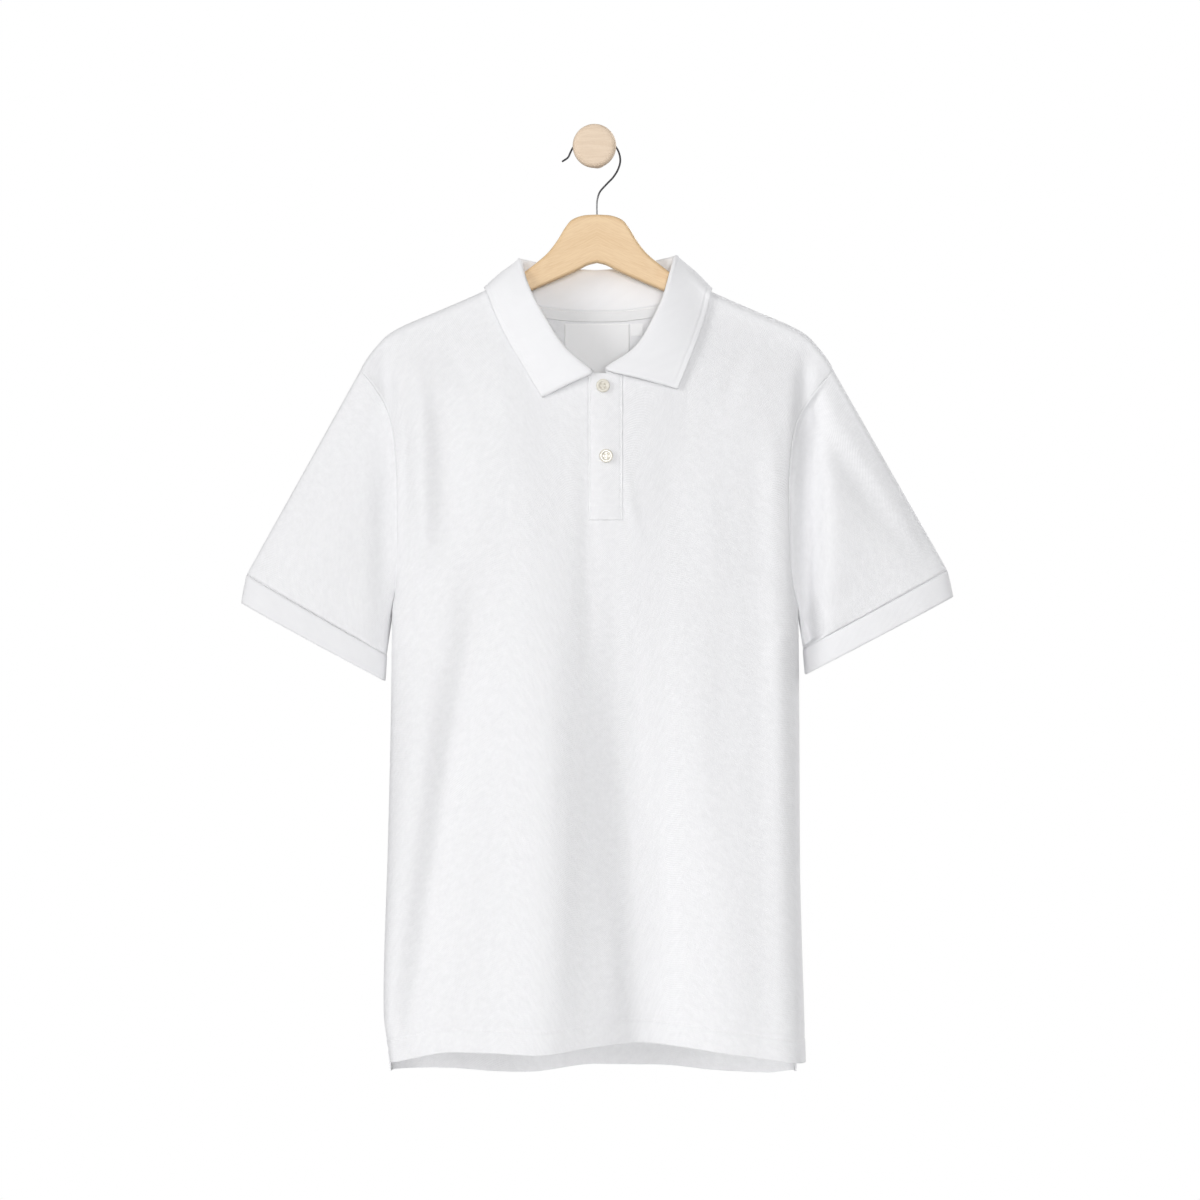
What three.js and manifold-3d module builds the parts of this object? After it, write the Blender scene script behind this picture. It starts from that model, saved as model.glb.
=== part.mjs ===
// A men's short-sleeved polo shirt on a flat wooden hanger, hung by its wire hook from a round wooden
// wall peg. Millimetres, +Z up, +X to the right of someone facing the wall. The wall is the plane y = 0,
// the shirt's front faces -Y, and the origin is the middle of the peg's back face, on the wall.
// Cloth panels are walls between an outer grid of points and the same grid moved in by the cloth's thickness.
import * as THREE from "three";
import { mergeVertices } from "three/addons/utils/BufferGeometryUtils.js";
import Module from "manifold-3d";

// Driving dimensions
const HANG_Y = -40; // plane of the hook, the hanger and the shoulder and side seams
const CLOTH = 2; // wall of the body and sleeves
const SEAM_GAP = 0.3; // between pieces that are sewn edge to edge
const LAID_GAP = 0.4; // between a panel and a piece that lies on it
const ARMHOLE_GAP = 0.8; // along the armhole seams, whose edges are cut in straight lengths
const SHOULDER_ROLL = 10.5; // cloth's outer radius over the hanger's top edge
const SHOULDER_TIP_X = 224; // end of the shoulder seam, where the sleeve head starts
const SHOULDER_TIP_Z = -206;
const UNDERARM_Z = -436;
const NECK_HALF = 90; // from the middle to the neck end of the shoulder seam
const BACK_NECK_Z = -151.5;
const FRONT_NECK_Z = -216.5;
const NECK_LEAN = 5; // how far the hung front neckline's lowest point lies to +X
const HEM_Z = -850; // about where the hems are
const VENT_HEIGHT = 32; // slit at the foot of each side seam
const VENT_SPREAD = 2.5; // how far each vent edge stands off the seam plane at the hem

// Placket
const PLACKET_LEFT = -8.3;
const PLACKET_RIGHT = 24.3;
const PLACKET_FOOT_Z = -352;
const PLACKET_LAP = 3; // how far each strip laps over the edge of the front's slot
const PLACKET_WALL = 1.4;
const PLACKET_COLUMNS = 4;
const PLACKET_ROWS = 10;

// Collar
const COLLAR_WALL = 2;
const COLLAR_ROLL = 2.4; // half the width of the roll along the collar's fold line
const COLLAR_BACK_SHARE = 0.44; // share of the half collar that runs along the back neck seam
const COLLAR_FRONT_X = 4; // where its neck seam ends, from the front's middle
const COLLAR_BACK_STATIONS = 8;
const COLLAR_FRONT_STATIONS = 11;
const COLLAR_STAND_STEPS = 3;
const COLLAR_LEAF_STEPS = 5;

// Tape over the back neck seam, and the blank labels sewn in under it
const TAPE_HALF = 62;
const TAPE_HEIGHT = 9;
const TAPE_BELOW_SEAM = 1;
const TAPE_WALL = 1;
const TAPE_COLUMNS = 16;
const TAPE_ROWS = 2;
const LABEL_CELLS = 4;
const LABELS = [
  { name: "neck_label", left: -31.5, right: 31.2, top: -162, foot: -210 },
  { name: "size_label", left: 32.3, right: 44, top: -162, foot: -173.5 },
];

// Cuffs
const CUFF_WALL = 2.2;
const CUFF_HALF_THICKNESS = 19; // half the cuff's front to back opening
const CUFF_FORWARD = 2; // how far the cuff's middle hangs ahead of the seam plane

// Buttons
const BUTTON_RADIUS = 6.4;
const BUTTON_THICKNESS = 2.6;
const BUTTON_SIDES = 20;
const BUTTON_HOLE_RADIUS = 0.8;
const BUTTON_HOLE_PITCH = 1.55; // from the middle to each hole, along x and z

// Hanger, hook and peg
const HANGER_THICKNESS = 11;
const HANGER_BEVEL = 3;
const HANGER_POINTS = 44; // along half of its outline
const HOOK_RADIUS = 1.4;
const HOOK_STEPS = 52;
const HOOK_FOOT_Z = -79;
const HOOK_HOLE_SPARE = 1; // how far the hole in the wood runs past the shank's foot
const PEG_STEM_RADIUS = 10.2;
const PEG_STEM_LENGTH = 50;
const PEG_HEAD_RADIUS = 21.4;
const PEG_HEAD_THICKNESS = 16;
const PEG_SIDES = 32;

// Half-width of the body's panels at each height, and how far round the section the panel's edge lies:
// below the underarm the edge is the side seam at 90 degrees, above it the edge is the armhole seam.
const BODY_EDGE = [
  { z: -120, left: 224, right: 224, turn: 56 },
  { z: -206, left: 224, right: 224, turn: 58 },
  { z: -222, left: 212.5, right: 212, turn: 61 },
  { z: -240, left: 201, right: 198.5, turn: 66 },
  { z: -262, left: 194, right: 188, turn: 71 },
  { z: -288, left: 190.5, right: 183, turn: 75 },
  { z: -323, left: 189, right: 181, turn: 77 },
  { z: -384, left: 188.5, right: 182, turn: 79 },
  { z: -415, left: 190.5, right: 186, turn: 83 },
  { z: -436, left: 194, right: 190.5, turn: 90 },
  { z: -520, left: 195, right: 191.5, turn: 90 },
  { z: -664, left: 198, right: 192, turn: 90 },
  { z: -800, left: 201.5, right: 195.5, turn: 90 },
  { z: -890, left: 199, right: 199, turn: 90 },
];

// How far the front and back stand off the seam plane at the middle, at each height.
const BODY_DEPTH = [
  { z: -110, front: 38, back: 27 },
  { z: -215, front: 42, back: 29 },
  { z: -300, front: 45, back: 30 },
  { z: -440, front: 50, back: 31 },
  { z: -650, front: 54, back: 31 },
  { z: -890, front: 58, back: 31 },
];

// Outer line of the shoulders over the hanger, from the middle out to the sleeve head.
const SHOULDER_LINE = [
  { x: 0, z: -88 },
  { x: 60, z: -108.5 },
  { x: 90, z: -123 },
  { x: 107, z: -132.5 },
  { x: 150, z: -151.5 },
  { x: 188, z: -168 },
  { x: 200, z: -175.5 },
  { x: 209, z: -185 },
  { x: 217, z: -195 },
  { x: 224, z: -206 },
];

// Neck seam, from the middle front to the shoulder seam and from there to the middle back.
const FRONT_NECK = [
  { x: 0, z: FRONT_NECK_Z },
  { x: 13, z: -215.5 },
  { x: 26, z: -211 },
  { x: 39, z: -202 },
  { x: 52, z: -188.5 },
  { x: 64, z: -172.5 },
  { x: 74, z: -156 },
  { x: 82, z: -140 },
  { x: 87.5, z: -129 },
  { x: NECK_HALF, z: -123 },
];
const BACK_NECK = [
  { x: 0, z: BACK_NECK_Z },
  { x: 24, z: -151 },
  { x: 46, z: -148.5 },
  { x: 64, z: -145.5 },
  { x: 78, z: -140.5 },
  { x: 85, z: -135 },
  { x: 88.5, z: -129 },
  { x: NECK_HALF, z: -123 },
];

// Lower edge of the front and of the longer back.
const FRONT_HEM = [
  { x: -200, z: -861 },
  { x: -130, z: -848 },
  { x: -60, z: -848.5 },
  { x: 0, z: -842.5 },
  { x: 35, z: -841 },
  { x: 76, z: -844 },
  { x: 130, z: -851 },
  { x: 200, z: -862 },
];
const BACK_HEM = [
  { x: -200, z: -877 },
  { x: -142, z: -876 },
  { x: -66, z: -879.5 },
  { x: 0, z: -870.5 },
  { x: 58, z: -872 },
  { x: 120, z: -878 },
  { x: 200, z: -883 },
];

// Largest folds: a soft trough (depth above 0) or ridge (below 0) along a line from its top to its foot,
// with its half-width at each end and the shares of its length over which it rises and dies away.
// lean is how many times wider its flank at +X is than the one at -X.
const FRONT_FOLDS = [
  {
    topX: 12, topZ: -290, footX: 50, footZ: -890, topHalf: 24, footHalf: 37,
    depth: 19, rise: 0.66, fade: 0, lean: 1.55,
  },
  {
    topX: -32, topZ: -280, footX: -54, footZ: -890, topHalf: 22, footHalf: 32,
    depth: -8, rise: 0.6, fade: 0, lean: 1,
  },
  {
    topX: 28, topZ: -720, footX: 38, footZ: -890, topHalf: 13, footHalf: 17,
    depth: 2, rise: 0.6, fade: 0, lean: 1.3,
  },
  {
    topX: -96, topZ: -330, footX: -182, footZ: -890, topHalf: 24, footHalf: 28,
    depth: 7.5, rise: 0.4, fade: 0, lean: 1.3,
  },
  {
    topX: -130, topZ: -340, footX: -218, footZ: -890, topHalf: 17, footHalf: 20,
    depth: -6.5, rise: 0.4, fade: 0, lean: 1,
  },
  {
    topX: -168, topZ: -185, footX: -160, footZ: -430, topHalf: 11, footHalf: 14,
    depth: -6, rise: 0.3, fade: 0.4, lean: 1,
  },
  {
    topX: -142, topZ: -225, footX: -136, footZ: -440, topHalf: 13, footHalf: 18,
    depth: 3, rise: 0.3, fade: 0.4, lean: 1.2,
  },
  {
    topX: 168, topZ: -240, footX: 180, footZ: -890, topHalf: 13, footHalf: 18,
    depth: -6, rise: 0.12, fade: 0, lean: 1,
  },
  {
    topX: -203, topZ: -172, footX: -194, footZ: -300, topHalf: 9, footHalf: 9,
    depth: 7, rise: 0.4, fade: 0.5, lean: 1,
  },
  {
    topX: 202, topZ: -172, footX: 189, footZ: -300, topHalf: 9, footHalf: 9,
    depth: 7, rise: 0.4, fade: 0.5, lean: 1,
  },
];
const BACK_FOLDS = [
  {
    topX: -20, topZ: -330, footX: 8, footZ: -890, topHalf: 26, footHalf: 44,
    depth: 10, rise: 0.5, fade: 0, lean: 1.2,
  },
  {
    topX: -92, topZ: -300, footX: -104, footZ: -890, topHalf: 24, footHalf: 30,
    depth: 6, rise: 0.5, fade: 0, lean: 1,
  },
  {
    topX: 96, topZ: -260, footX: 112, footZ: -890, topHalf: 22, footHalf: 32,
    depth: 7, rise: 0.5, fade: 0, lean: 1.3,
  },
];

// Collar stations from the middle back to the front corner. side is the share of the collar's half-length;
// seam is the share of the neck seam; fold is the fold line; edge is the leaf's free edge, and lift is
// how far that edge stands off the shirt's outer face.
const COLLAR_RIGHT = [
  { side: 0, seam: 0, foldX: 0, foldY: -17, foldZ: -111, edgeX: 0, edgeZ: -162, lift: 8 },
  { side: 0.15, seam: 0.14, foldX: 32, foldY: -17.5, foldZ: -109, edgeX: 40, edgeZ: -161, lift: 8 },
  { side: 0.27, seam: 0.26, foldX: 56, foldY: -21, foldZ: -104.5, edgeX: 74, edgeZ: -155, lift: 7 },
  { side: 0.36, seam: 0.35, foldX: 70, foldY: -29, foldZ: -100, edgeX: 97, edgeZ: -143, lift: 5 },
  { side: 0.44, seam: 0.44, foldX: 75.5, foldY: -40, foldZ: -99.5, edgeX: 108, edgeZ: -131, lift: 2.4 },
  { side: 0.54, seam: 0.53, foldX: 72, foldY: -53, foldZ: -113, edgeX: 106, edgeZ: -141, lift: 3 },
  { side: 0.66, seam: 0.65, foldX: 66, foldY: -64, foldZ: -135, edgeX: 101, edgeZ: -160, lift: 3 },
  { side: 0.78, seam: 0.77, foldX: 55.5, foldY: -72, foldZ: -159, edgeX: 93.5, edgeZ: -182, lift: 3.5 },
  { side: 0.89, seam: 0.88, foldX: 37, foldY: -78.5, foldZ: -189, edgeX: 84.5, edgeZ: -206, lift: 4.5 },
  { side: 1, seam: 1, foldX: 8.5, foldY: -82.5, foldZ: -209, edgeX: 75, edgeZ: -229.5, lift: 6 },
];
const COLLAR_LEFT = [
  { side: 0, seam: 0, foldX: 0, foldY: -17, foldZ: -111, edgeX: 0, edgeZ: -162, lift: 8 },
  { side: 0.15, seam: 0.14, foldX: 32, foldY: -17.5, foldZ: -109.5, edgeX: 40, edgeZ: -161, lift: 8 },
  { side: 0.27, seam: 0.26, foldX: 56, foldY: -21, foldZ: -106, edgeX: 74, edgeZ: -155, lift: 7 },
  { side: 0.36, seam: 0.35, foldX: 69, foldY: -29, foldZ: -102.5, edgeX: 96, edgeZ: -142, lift: 5 },
  { side: 0.44, seam: 0.44, foldX: 74, foldY: -40, foldZ: -102.5, edgeX: 106, edgeZ: -131, lift: 2.4 },
  { side: 0.54, seam: 0.53, foldX: 70.5, foldY: -53, foldZ: -118, edgeX: 101, edgeZ: -143, lift: 2.5 },
  { side: 0.66, seam: 0.65, foldX: 62, foldY: -64, foldZ: -139, edgeX: 93, edgeZ: -163, lift: 2 },
  { side: 0.78, seam: 0.77, foldX: 49, foldY: -72, foldZ: -162, edgeX: 82, edgeZ: -185, lift: 2 },
  { side: 0.89, seam: 0.88, foldX: 29, foldY: -78.5, foldZ: -189, edgeX: 68.5, edgeZ: -208, lift: 2 },
  { side: 1, seam: 1, foldX: -3, foldY: -82.5, foldZ: -209.5, edgeX: 51, edgeZ: -237.5, lift: 2.5 },
];

// Where each sleeve ends: the cuff seam's outer and inner corners, and the cuff's free edge.
const SLEEVES = [
  {
    name: "left", sign: -1,
    seamOuterX: 332.5, seamOuterZ: -402, seamInnerX: 199.5, seamInnerZ: -478,
    hemOuterX: 337.5, hemOuterZ: -429, hemInnerX: 201, hemInnerZ: -503,
  },
  {
    name: "right", sign: 1,
    seamOuterX: 332.5, seamOuterZ: -398, seamInnerX: 195.5, seamInnerZ: -472,
    hemOuterX: 338, hemOuterZ: -423, hemInnerX: 197.5, hemInnerZ: -497,
  },
];
const SLEEVE_BULGE = 9; // how far each sleeve's faces round out at mid length

// Half of the hanger's outline, from the top middle round the shoulder's end to the arch under the middle.
const HANGER_TOP = [
  { x: 0, z: -60.5 },
  { x: 14, z: -61.6 },
  { x: 24.5, z: -66 },
  { x: 31, z: -74 },
  { x: 37, z: -84 },
  { x: 46, z: -96 },
  { x: 56.5, z: -105.5 },
  { x: 71, z: -116.6 },
  { x: 90, z: -129.8 },
  { x: 107, z: -137.6 },
  { x: 150, z: -156 },
  { x: 186, z: -172 },
  { x: 195, z: -177.5 },
];
const HANGER_FOOT = [
  { x: 198.5, z: -184.5 },
  { x: 194, z: -190 },
  { x: 185, z: -187.2 },
  { x: 107, z: -152.3 },
  { x: 63, z: -133 },
  { x: 20.5, z: -114.4 },
  { x: 9, z: -108.4 },
  { x: 0, z: -106 },
];

// Hook wire's centre line in the hanger's plane, from its foot in the wood to its free tip.
const HOOK_LINE = [
  { x: 0, z: HOOK_FOOT_Z },
  { x: 0, z: -62 },
  { x: 0.2, z: -47 },
  { x: 2.6, z: -39 },
  { x: 9, z: -31.5 },
  { x: 15.7, z: -24.4 },
  { x: 20.2, z: -16.8 },
  { x: 22.1, z: -9.3 },
  { x: 20.9, z: -1.6 },
  { x: 16.8, z: 5.4 },
  { x: 9.4, z: 10.4 },
  { x: 0, z: 12 },
  { x: -9.6, z: 10.8 },
  { x: -17.6, z: 7.6 },
  { x: -22.6, z: 3.6 },
  { x: -25.2, z: -1.2 },
  { x: -27.6, z: -6 },
  { x: -32.6, z: -9.6 },
];

// Grid sizes
const NECK_SHARE = 0.44; // share of the half-width at which the neck's columns end
const FRONT_NECK_COLUMNS = 6; // each side of the placket slot
const SHOULDER_COLUMNS = 10;
const BACK_NECK_COLUMNS = 6;
const BACK_SHOULDER_COLUMNS = 8;
const ROLL_DROPS = [0, 1.5, 5, 10.5]; // drops below the shoulder line of the rows over the hanger's edge
const YOKE_ROWS = 10; // from the shoulders to the placket's foot
const ARMHOLE_ROWS = 4; // from there to the underarm
const SKIRT_ROWS = 10; // from there to the hem
const BACK_SKIRT_ROWS = 8;
const SLEEVE_RINGS = 8;
const CUFF_RINGS = 2;

const clamp01 = (t) => Math.min(1, Math.max(0, t));
const lerp = (a, b, t) => a + (b - a) * t;
const quarterSine = (t) => Math.sin((Math.PI / 2) * t);
const smooth = (t) => clamp01(t) ** 2 * (3 - 2 * clamp01(t));

// A smooth function through a table's rows, with no overshoot: cubic pieces with limited slopes.
function through(rows, from, to) {
  const table = [...rows].sort((a, b) => a[from] - b[from]);
  const x = table.map((row) => row[from]);
  const y = table.map((row) => row[to]);
  const chord = x.slice(1).map((v, i) => (y[i + 1] - y[i]) / (v - x[i]));
  const slope = x.map((_, i) => {
    if (i === 0) return chord[0];
    if (i === x.length - 1) return chord[i - 1];
    if (chord[i - 1] * chord[i] <= 0) return 0;
    return (2 * chord[i - 1] * chord[i]) / (chord[i - 1] + chord[i]);
  });
  return (v) => {
    if (v <= x[0]) return y[0];
    if (v >= x[x.length - 1]) return y[x.length - 1];
    const i = x.findLastIndex((knot) => knot <= v);
    const h = x[i + 1] - x[i];
    const t = (v - x[i]) / h;
    const rise = y[i + 1] - y[i];
    return (
      y[i] + rise * t * t * (3 - 2 * t) +
      h * slope[i] * t * (1 - t) ** 2 -
      h * slope[i + 1] * t * t * (1 - t)
    );
  };
}

const edgeLeft = through(BODY_EDGE, "z", "left");
const edgeRight = through(BODY_EDGE, "z", "right");
const edgeTurn = through(BODY_EDGE, "z", "turn");
const frontDepth = through(BODY_DEPTH, "z", "front");
const backDepth = through(BODY_DEPTH, "z", "back");
const shoulderLine = through(SHOULDER_LINE, "x", "z");
const frontHem = through(FRONT_HEM, "x", "z");
const backHem = through(BACK_HEM, "x", "z");
const frontNeck = through(FRONT_NECK, "x", "z");
const backNeck = through(BACK_NECK, "x", "z");

const panelEdge = (z, sign) => (sign < 0 ? edgeLeft(z) : edgeRight(z));
const sectionHalf = (z, sign) => panelEdge(z, sign) / Math.sin(THREE.MathUtils.degToRad(edgeTurn(z)));

// Share of the full depth at x: a section that is nearly flat in the middle and rounds in at the sides.
function sideShare(x, z) {
  const across = Math.min(1, Math.abs(x) / sectionHalf(z, x));
  return (1 - across ** 3) ** (1 / 3.5);
}

// Depth that the cloth has gained at a drop below the shoulder line: a quarter round over the hanger,
// then a slow swell towards the body's full depth.
function drape(drop, depth) {
  const swellLength = 65;
  if (drop <= 0) return 0;
  if (drop < SHOULDER_ROLL) return Math.sqrt(SHOULDER_ROLL ** 2 - (SHOULDER_ROLL - drop) ** 2);
  const swell = 1 - Math.exp(-(((drop - SHOULDER_ROLL) / swellLength) ** 1.5));
  return SHOULDER_ROLL + (depth - SHOULDER_ROLL) * swell;
}

function foldsAt(folds, x, z) {
  return folds.reduce((sum, f) => {
    const down = clamp01((f.topZ - z) / (f.topZ - f.footZ));
    const rise = smooth(down / f.rise);
    const fade = f.fade > 0 ? 1 - smooth((down - 1 + f.fade) / f.fade) : 1;
    const across = x - lerp(f.topX, f.footX, down);
    const away = across / lerp(f.topHalf, f.footHalf, down) / (across > 0 ? f.lean : 1);
    return sum + f.depth * rise * fade * Math.exp(-away * away);
  }, 0);
}

// How far a vent's edge stands off the seam plane: nothing above the slit, full at the hem.
function ventSpread(x, z, hem) {
  const nearSide = smooth((Math.abs(x) / sectionHalf(z, x) - 0.9) / 0.1);
  return VENT_SPREAD * nearSide * smooth((hem + VENT_HEIGHT - z) / VENT_HEIGHT);
}

function frontY(x, z) {
  const full = drape(shoulderLine(Math.abs(x)) - z, frontDepth(z) * sideShare(x, z));
  const folded = full - foldsAt(FRONT_FOLDS, x, z) * smooth(full / 20);
  return HANG_Y - Math.max(SEAM_GAP / 2 + ventSpread(x, z, frontHem(x)), folded);
}

function backY(x, z) {
  const full = drape(shoulderLine(Math.abs(x)) - z, backDepth(z) * sideShare(x, z));
  const folded = full - foldsAt(BACK_FOLDS, x, z) * smooth(full / 20);
  return HANG_Y + Math.max(SEAM_GAP / 2 + ventSpread(x, z, backHem(x)), folded);
}

// How far the front neckline leans to +X at a height.
function neckLean(z) {
  const neckEndZ = shoulderLine(NECK_HALF);
  return NECK_LEAN * clamp01((z - neckEndZ) / (FRONT_NECK_Z - neckEndZ));
}

// A panel's columns. Each has its x at the panel's top edge, the height there, and the share of the
// panel's half-width that it keeps from the placket's foot down.
function shoulderColumns(sign, count) {
  const list = [];
  for (let i = 1; i <= count; i++) {
    const share = Math.sin(lerp(Math.asin(NECK_SHARE), Math.PI / 2, i / count));
    const x = lerp(NECK_HALF, SHOULDER_TIP_X, (share - NECK_SHARE) / (1 - NECK_SHARE));
    list.push({ x: sign * x, z: shoulderLine(x), share: sign * share });
  }
  return list;
}

// The front's neck columns start at an edge of the placket's slot and crowd towards the shoulder.
function frontSide(sign, slotX) {
  const first = slotX / panelEdge(PLACKET_FOOT_Z, sign);
  const list = [{ x: slotX, z: frontNeck(Math.abs(slotX - NECK_LEAN)), share: first }];
  for (let i = 1; i <= FRONT_NECK_COLUMNS; i++) {
    const t = i / FRONT_NECK_COLUMNS;
    const away = lerp(sign * (slotX - NECK_LEAN), NECK_HALF, quarterSine(t));
    const z = frontNeck(away);
    list.push({ x: sign * away + neckLean(z), z, share: lerp(first, sign * NECK_SHARE, t) });
  }
  return [...list, ...shoulderColumns(sign, SHOULDER_COLUMNS)];
}

function backColumns() {
  const half = [];
  for (let i = 0; i <= BACK_NECK_COLUMNS; i++) {
    const t = i / BACK_NECK_COLUMNS;
    const x = NECK_HALF * quarterSine(t);
    half.push({ x, z: backNeck(x), share: NECK_SHARE * t });
  }
  half.push(...shoulderColumns(1, BACK_SHOULDER_COLUMNS));
  const mirrored = half.slice(1).reverse().map((c) => ({ x: -c.x, z: c.z, share: -c.share }));
  return [...mirrored, ...half];
}

// A column's x at height z: its share of the half-width, plus what is left of its start at the yoke.
function columnX(column, z) {
  const sign = Math.sign(column.share);
  const spread = (at) => {
    const waist = panelEdge(PLACKET_FOOT_Z, sign);
    const share = Math.abs(column.share);
    return sign * share * (waist + (panelEdge(at, sign) - waist) * share ** 2);
  };
  const left = clamp01((z - PLACKET_FOOT_Z) / (column.z - PLACKET_FOOT_Z));
  return spread(z) + (column.x - spread(column.z)) * left;
}

// Grid of outer points of a panel, from its top edge to its hem.
function panelGrid(columns, depthY, hem, skirtRows) {
  const rows = [];
  const rolled = ROLL_DROPS.length - 1;
  for (const drop of ROLL_DROPS) rows.push(columns.map((c) => c.z - drop));
  for (let r = rolled + 1; r <= YOKE_ROWS; r++) {
    const t = (r - rolled) / (YOKE_ROWS - rolled);
    rows.push(columns.map((c) => lerp(c.z - ROLL_DROPS[rolled], PLACKET_FOOT_Z, t)));
  }
  for (let r = 1; r <= ARMHOLE_ROWS; r++) {
    rows.push(columns.map(() => lerp(PLACKET_FOOT_Z, UNDERARM_Z, r / ARMHOLE_ROWS)));
  }
  for (let r = 1; r <= skirtRows; r++) {
    rows.push(columns.map((c) => lerp(UNDERARM_Z, hem(columnX(c, HEM_Z)), r / skirtRows)));
  }
  return rows.map((heights) =>
    heights.map((z, i) => {
      const x = columnX(columns[i], z);
      return new THREE.Vector3(x, depthY(x, z), z);
    }),
  );
}

// Normals of a grid of points, turned to the side that faces says.
function gridNormals(grid, faces, wrap = false) {
  const last = grid.length - 1;
  const count = grid[0].length;
  return grid.map((row, i) =>
    row.map((point, j) => {
      const before = wrap ? row[(j + count - 1) % count] : row[Math.max(0, j - 1)];
      const after = wrap ? row[(j + 1) % count] : row[Math.min(count - 1, j + 1)];
      const across = after.clone().sub(before);
      const down = grid[Math.min(last, i + 1)][j].clone().sub(grid[Math.max(0, i - 1)][j]);
      return across.cross(down).normalize().multiplyScalar(faces);
    }),
  );
}

// The same grid moved along its normals.
const moved = (grid, normals, distance) =>
  grid.map((row, i) => row.map((p, j) => p.clone().addScaledVector(normals[i][j], distance)));

// A closed wall between an outer and an inner grid. present says which cells there are, and wrap
// joins the last column to the first.
function wallGeometry(outer, inner, wrap = false, present = () => true) {
  const rows = outer.length;
  const count = outer[0].length;
  const cells = wrap ? count : count - 1;
  const points = [...outer.flat(), ...inner.flat()];
  const at = (i, j) => i * count + (j % count);
  const under = rows * count;
  const has = (i, j) => {
    if (i < 0 || i >= rows - 1) return false;
    if (wrap) return present(i, (j + cells) % cells);
    return j >= 0 && j < cells && present(i, j);
  };
  const faces = [];
  const side = (a, b) => faces.push([b, a, a + under], [b, a + under, b + under]);
  for (let i = 0; i < rows - 1; i++) {
    for (let j = 0; j < cells; j++) {
      if (!has(i, j)) continue;
      const [a, b, c, d] = [at(i, j), at(i, j + 1), at(i + 1, j + 1), at(i + 1, j)];
      faces.push([a, b, c], [a, c, d]);
      faces.push([a + under, c + under, b + under], [a + under, d + under, c + under]);
      if (!has(i - 1, j)) side(a, b);
      if (!has(i, j + 1)) side(b, c);
      if (!has(i + 1, j)) side(c, d);
      if (!has(i, j - 1)) side(d, a);
    }
  }
  const volume = faces.reduce(
    (sum, [a, b, c]) => sum + points[a].dot(points[b].clone().cross(points[c])), 0,
  );
  const turned = volume < 0 ? faces.map(([a, b, c]) => [a, c, b]) : faces;
  const geometry = new THREE.BufferGeometry();
  const flat = points.flatMap((p) => [p.x, p.y, p.z]);
  geometry.setAttribute("position", new THREE.Float32BufferAttribute(flat, 3));
  geometry.setIndex(turned.flat());
  return geometry.toNonIndexed();
}

// Boolean work with manifold-3d
const wasm = await Module();
wasm.setup();

function solidOf(geometry) {
  const bare = geometry.clone();
  bare.deleteAttribute("normal");
  bare.deleteAttribute("uv");
  const merged = mergeVertices(bare, 1e-4);
  return new wasm.Manifold(
    new wasm.Mesh({
      numProp: 3,
      vertProperties: new Float32Array(merged.attributes.position.array),
      triVerts: new Uint32Array(merged.index.array),
    }),
  );
}

function geometryOf(solid) {
  const mesh = solid.getMesh();
  const geometry = new THREE.BufferGeometry();
  geometry.setAttribute("position", new THREE.BufferAttribute(new Float32Array(mesh.vertProperties), 3));
  geometry.setIndex(new THREE.BufferAttribute(new Uint32Array(mesh.triVerts), 1));
  return geometry.toNonIndexed();
}

// Front panel, with the slot that the placket strips close
const frontColumns = [
  ...frontSide(-1, PLACKET_LEFT + PLACKET_LAP).reverse(),
  ...frontSide(1, PLACKET_RIGHT - PLACKET_LAP),
];
const frontGrid = panelGrid(frontColumns, frontY, frontHem, SKIRT_ROWS);
const slotColumn = FRONT_NECK_COLUMNS + SHOULDER_COLUMNS;

// Normals along the seams lie in the seam's plane, so that two panels meet edge to edge.
function seamNormals(normals, grid) {
  const last = normals[0].length - 1;
  normals[0].forEach((n, j) => {
    if (Math.abs(grid[0][j].x) >= NECK_HALF - 1) n.setY(0).normalize();
  });
  for (let i = YOKE_ROWS + ARMHOLE_ROWS; i < normals.length; i++) {
    normals[i][0].set(-1, 0, 0);
    normals[i][last].set(1, 0, 0);
  }
  return normals;
}

const frontNormals = seamNormals(gridNormals(frontGrid, -1), frontGrid);
const slotFoot = YOKE_ROWS - 1;
const frontInner = moved(frontGrid, frontNormals, -CLOTH);
const frontPanel = wallGeometry(
  frontGrid,
  frontInner,
  false,
  (i, j) => j !== slotColumn || i >= slotFoot,
);

// Back panel
const backGrid = panelGrid(backColumns(), backY, backHem, BACK_SKIRT_ROWS);
const backNormals = seamNormals(gridNormals(backGrid, 1), backGrid);
const backInner = moved(backGrid, backNormals, -CLOTH);
const backPanel = wallGeometry(backGrid, backInner);

// Point on the front or back at x and z, off its outer face by a distance along the face's normal.
function onPanel(depthY, facing, x, z, off) {
  const step = 0.5;
  const at = (u, w) => new THREE.Vector3(u, depthY(u, w), w);
  const across = at(x + step, z).sub(at(x - step, z));
  const up = at(x, z + step).sub(at(x, z - step));
  const normal = across.cross(up).normalize();
  if (normal.y * facing < 0) normal.negate();
  return at(x, z).addScaledVector(normal, off);
}
const onFront = (x, z, off) => onPanel(frontY, -1, x, z, off);
const onBack = (x, z, off) => onPanel(backY, 1, x, z, off);

// A flat piece that lies on a panel between two offsets from its outer face.
function laidPiece(place, left, right, top, foot, columns, rows, near, far) {
  const layer = (off) => {
    const grid = [];
    for (let r = 0; r <= rows; r++) {
      const line = [];
      for (let c = 0; c <= columns; c++) {
        const x = lerp(left, right, c / columns);
        line.push(place(x, lerp(top(x), foot(x), r / rows), off));
      }
      grid.push(line);
    }
    return grid;
  };
  return wallGeometry(layer(far), layer(near));
}

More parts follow.
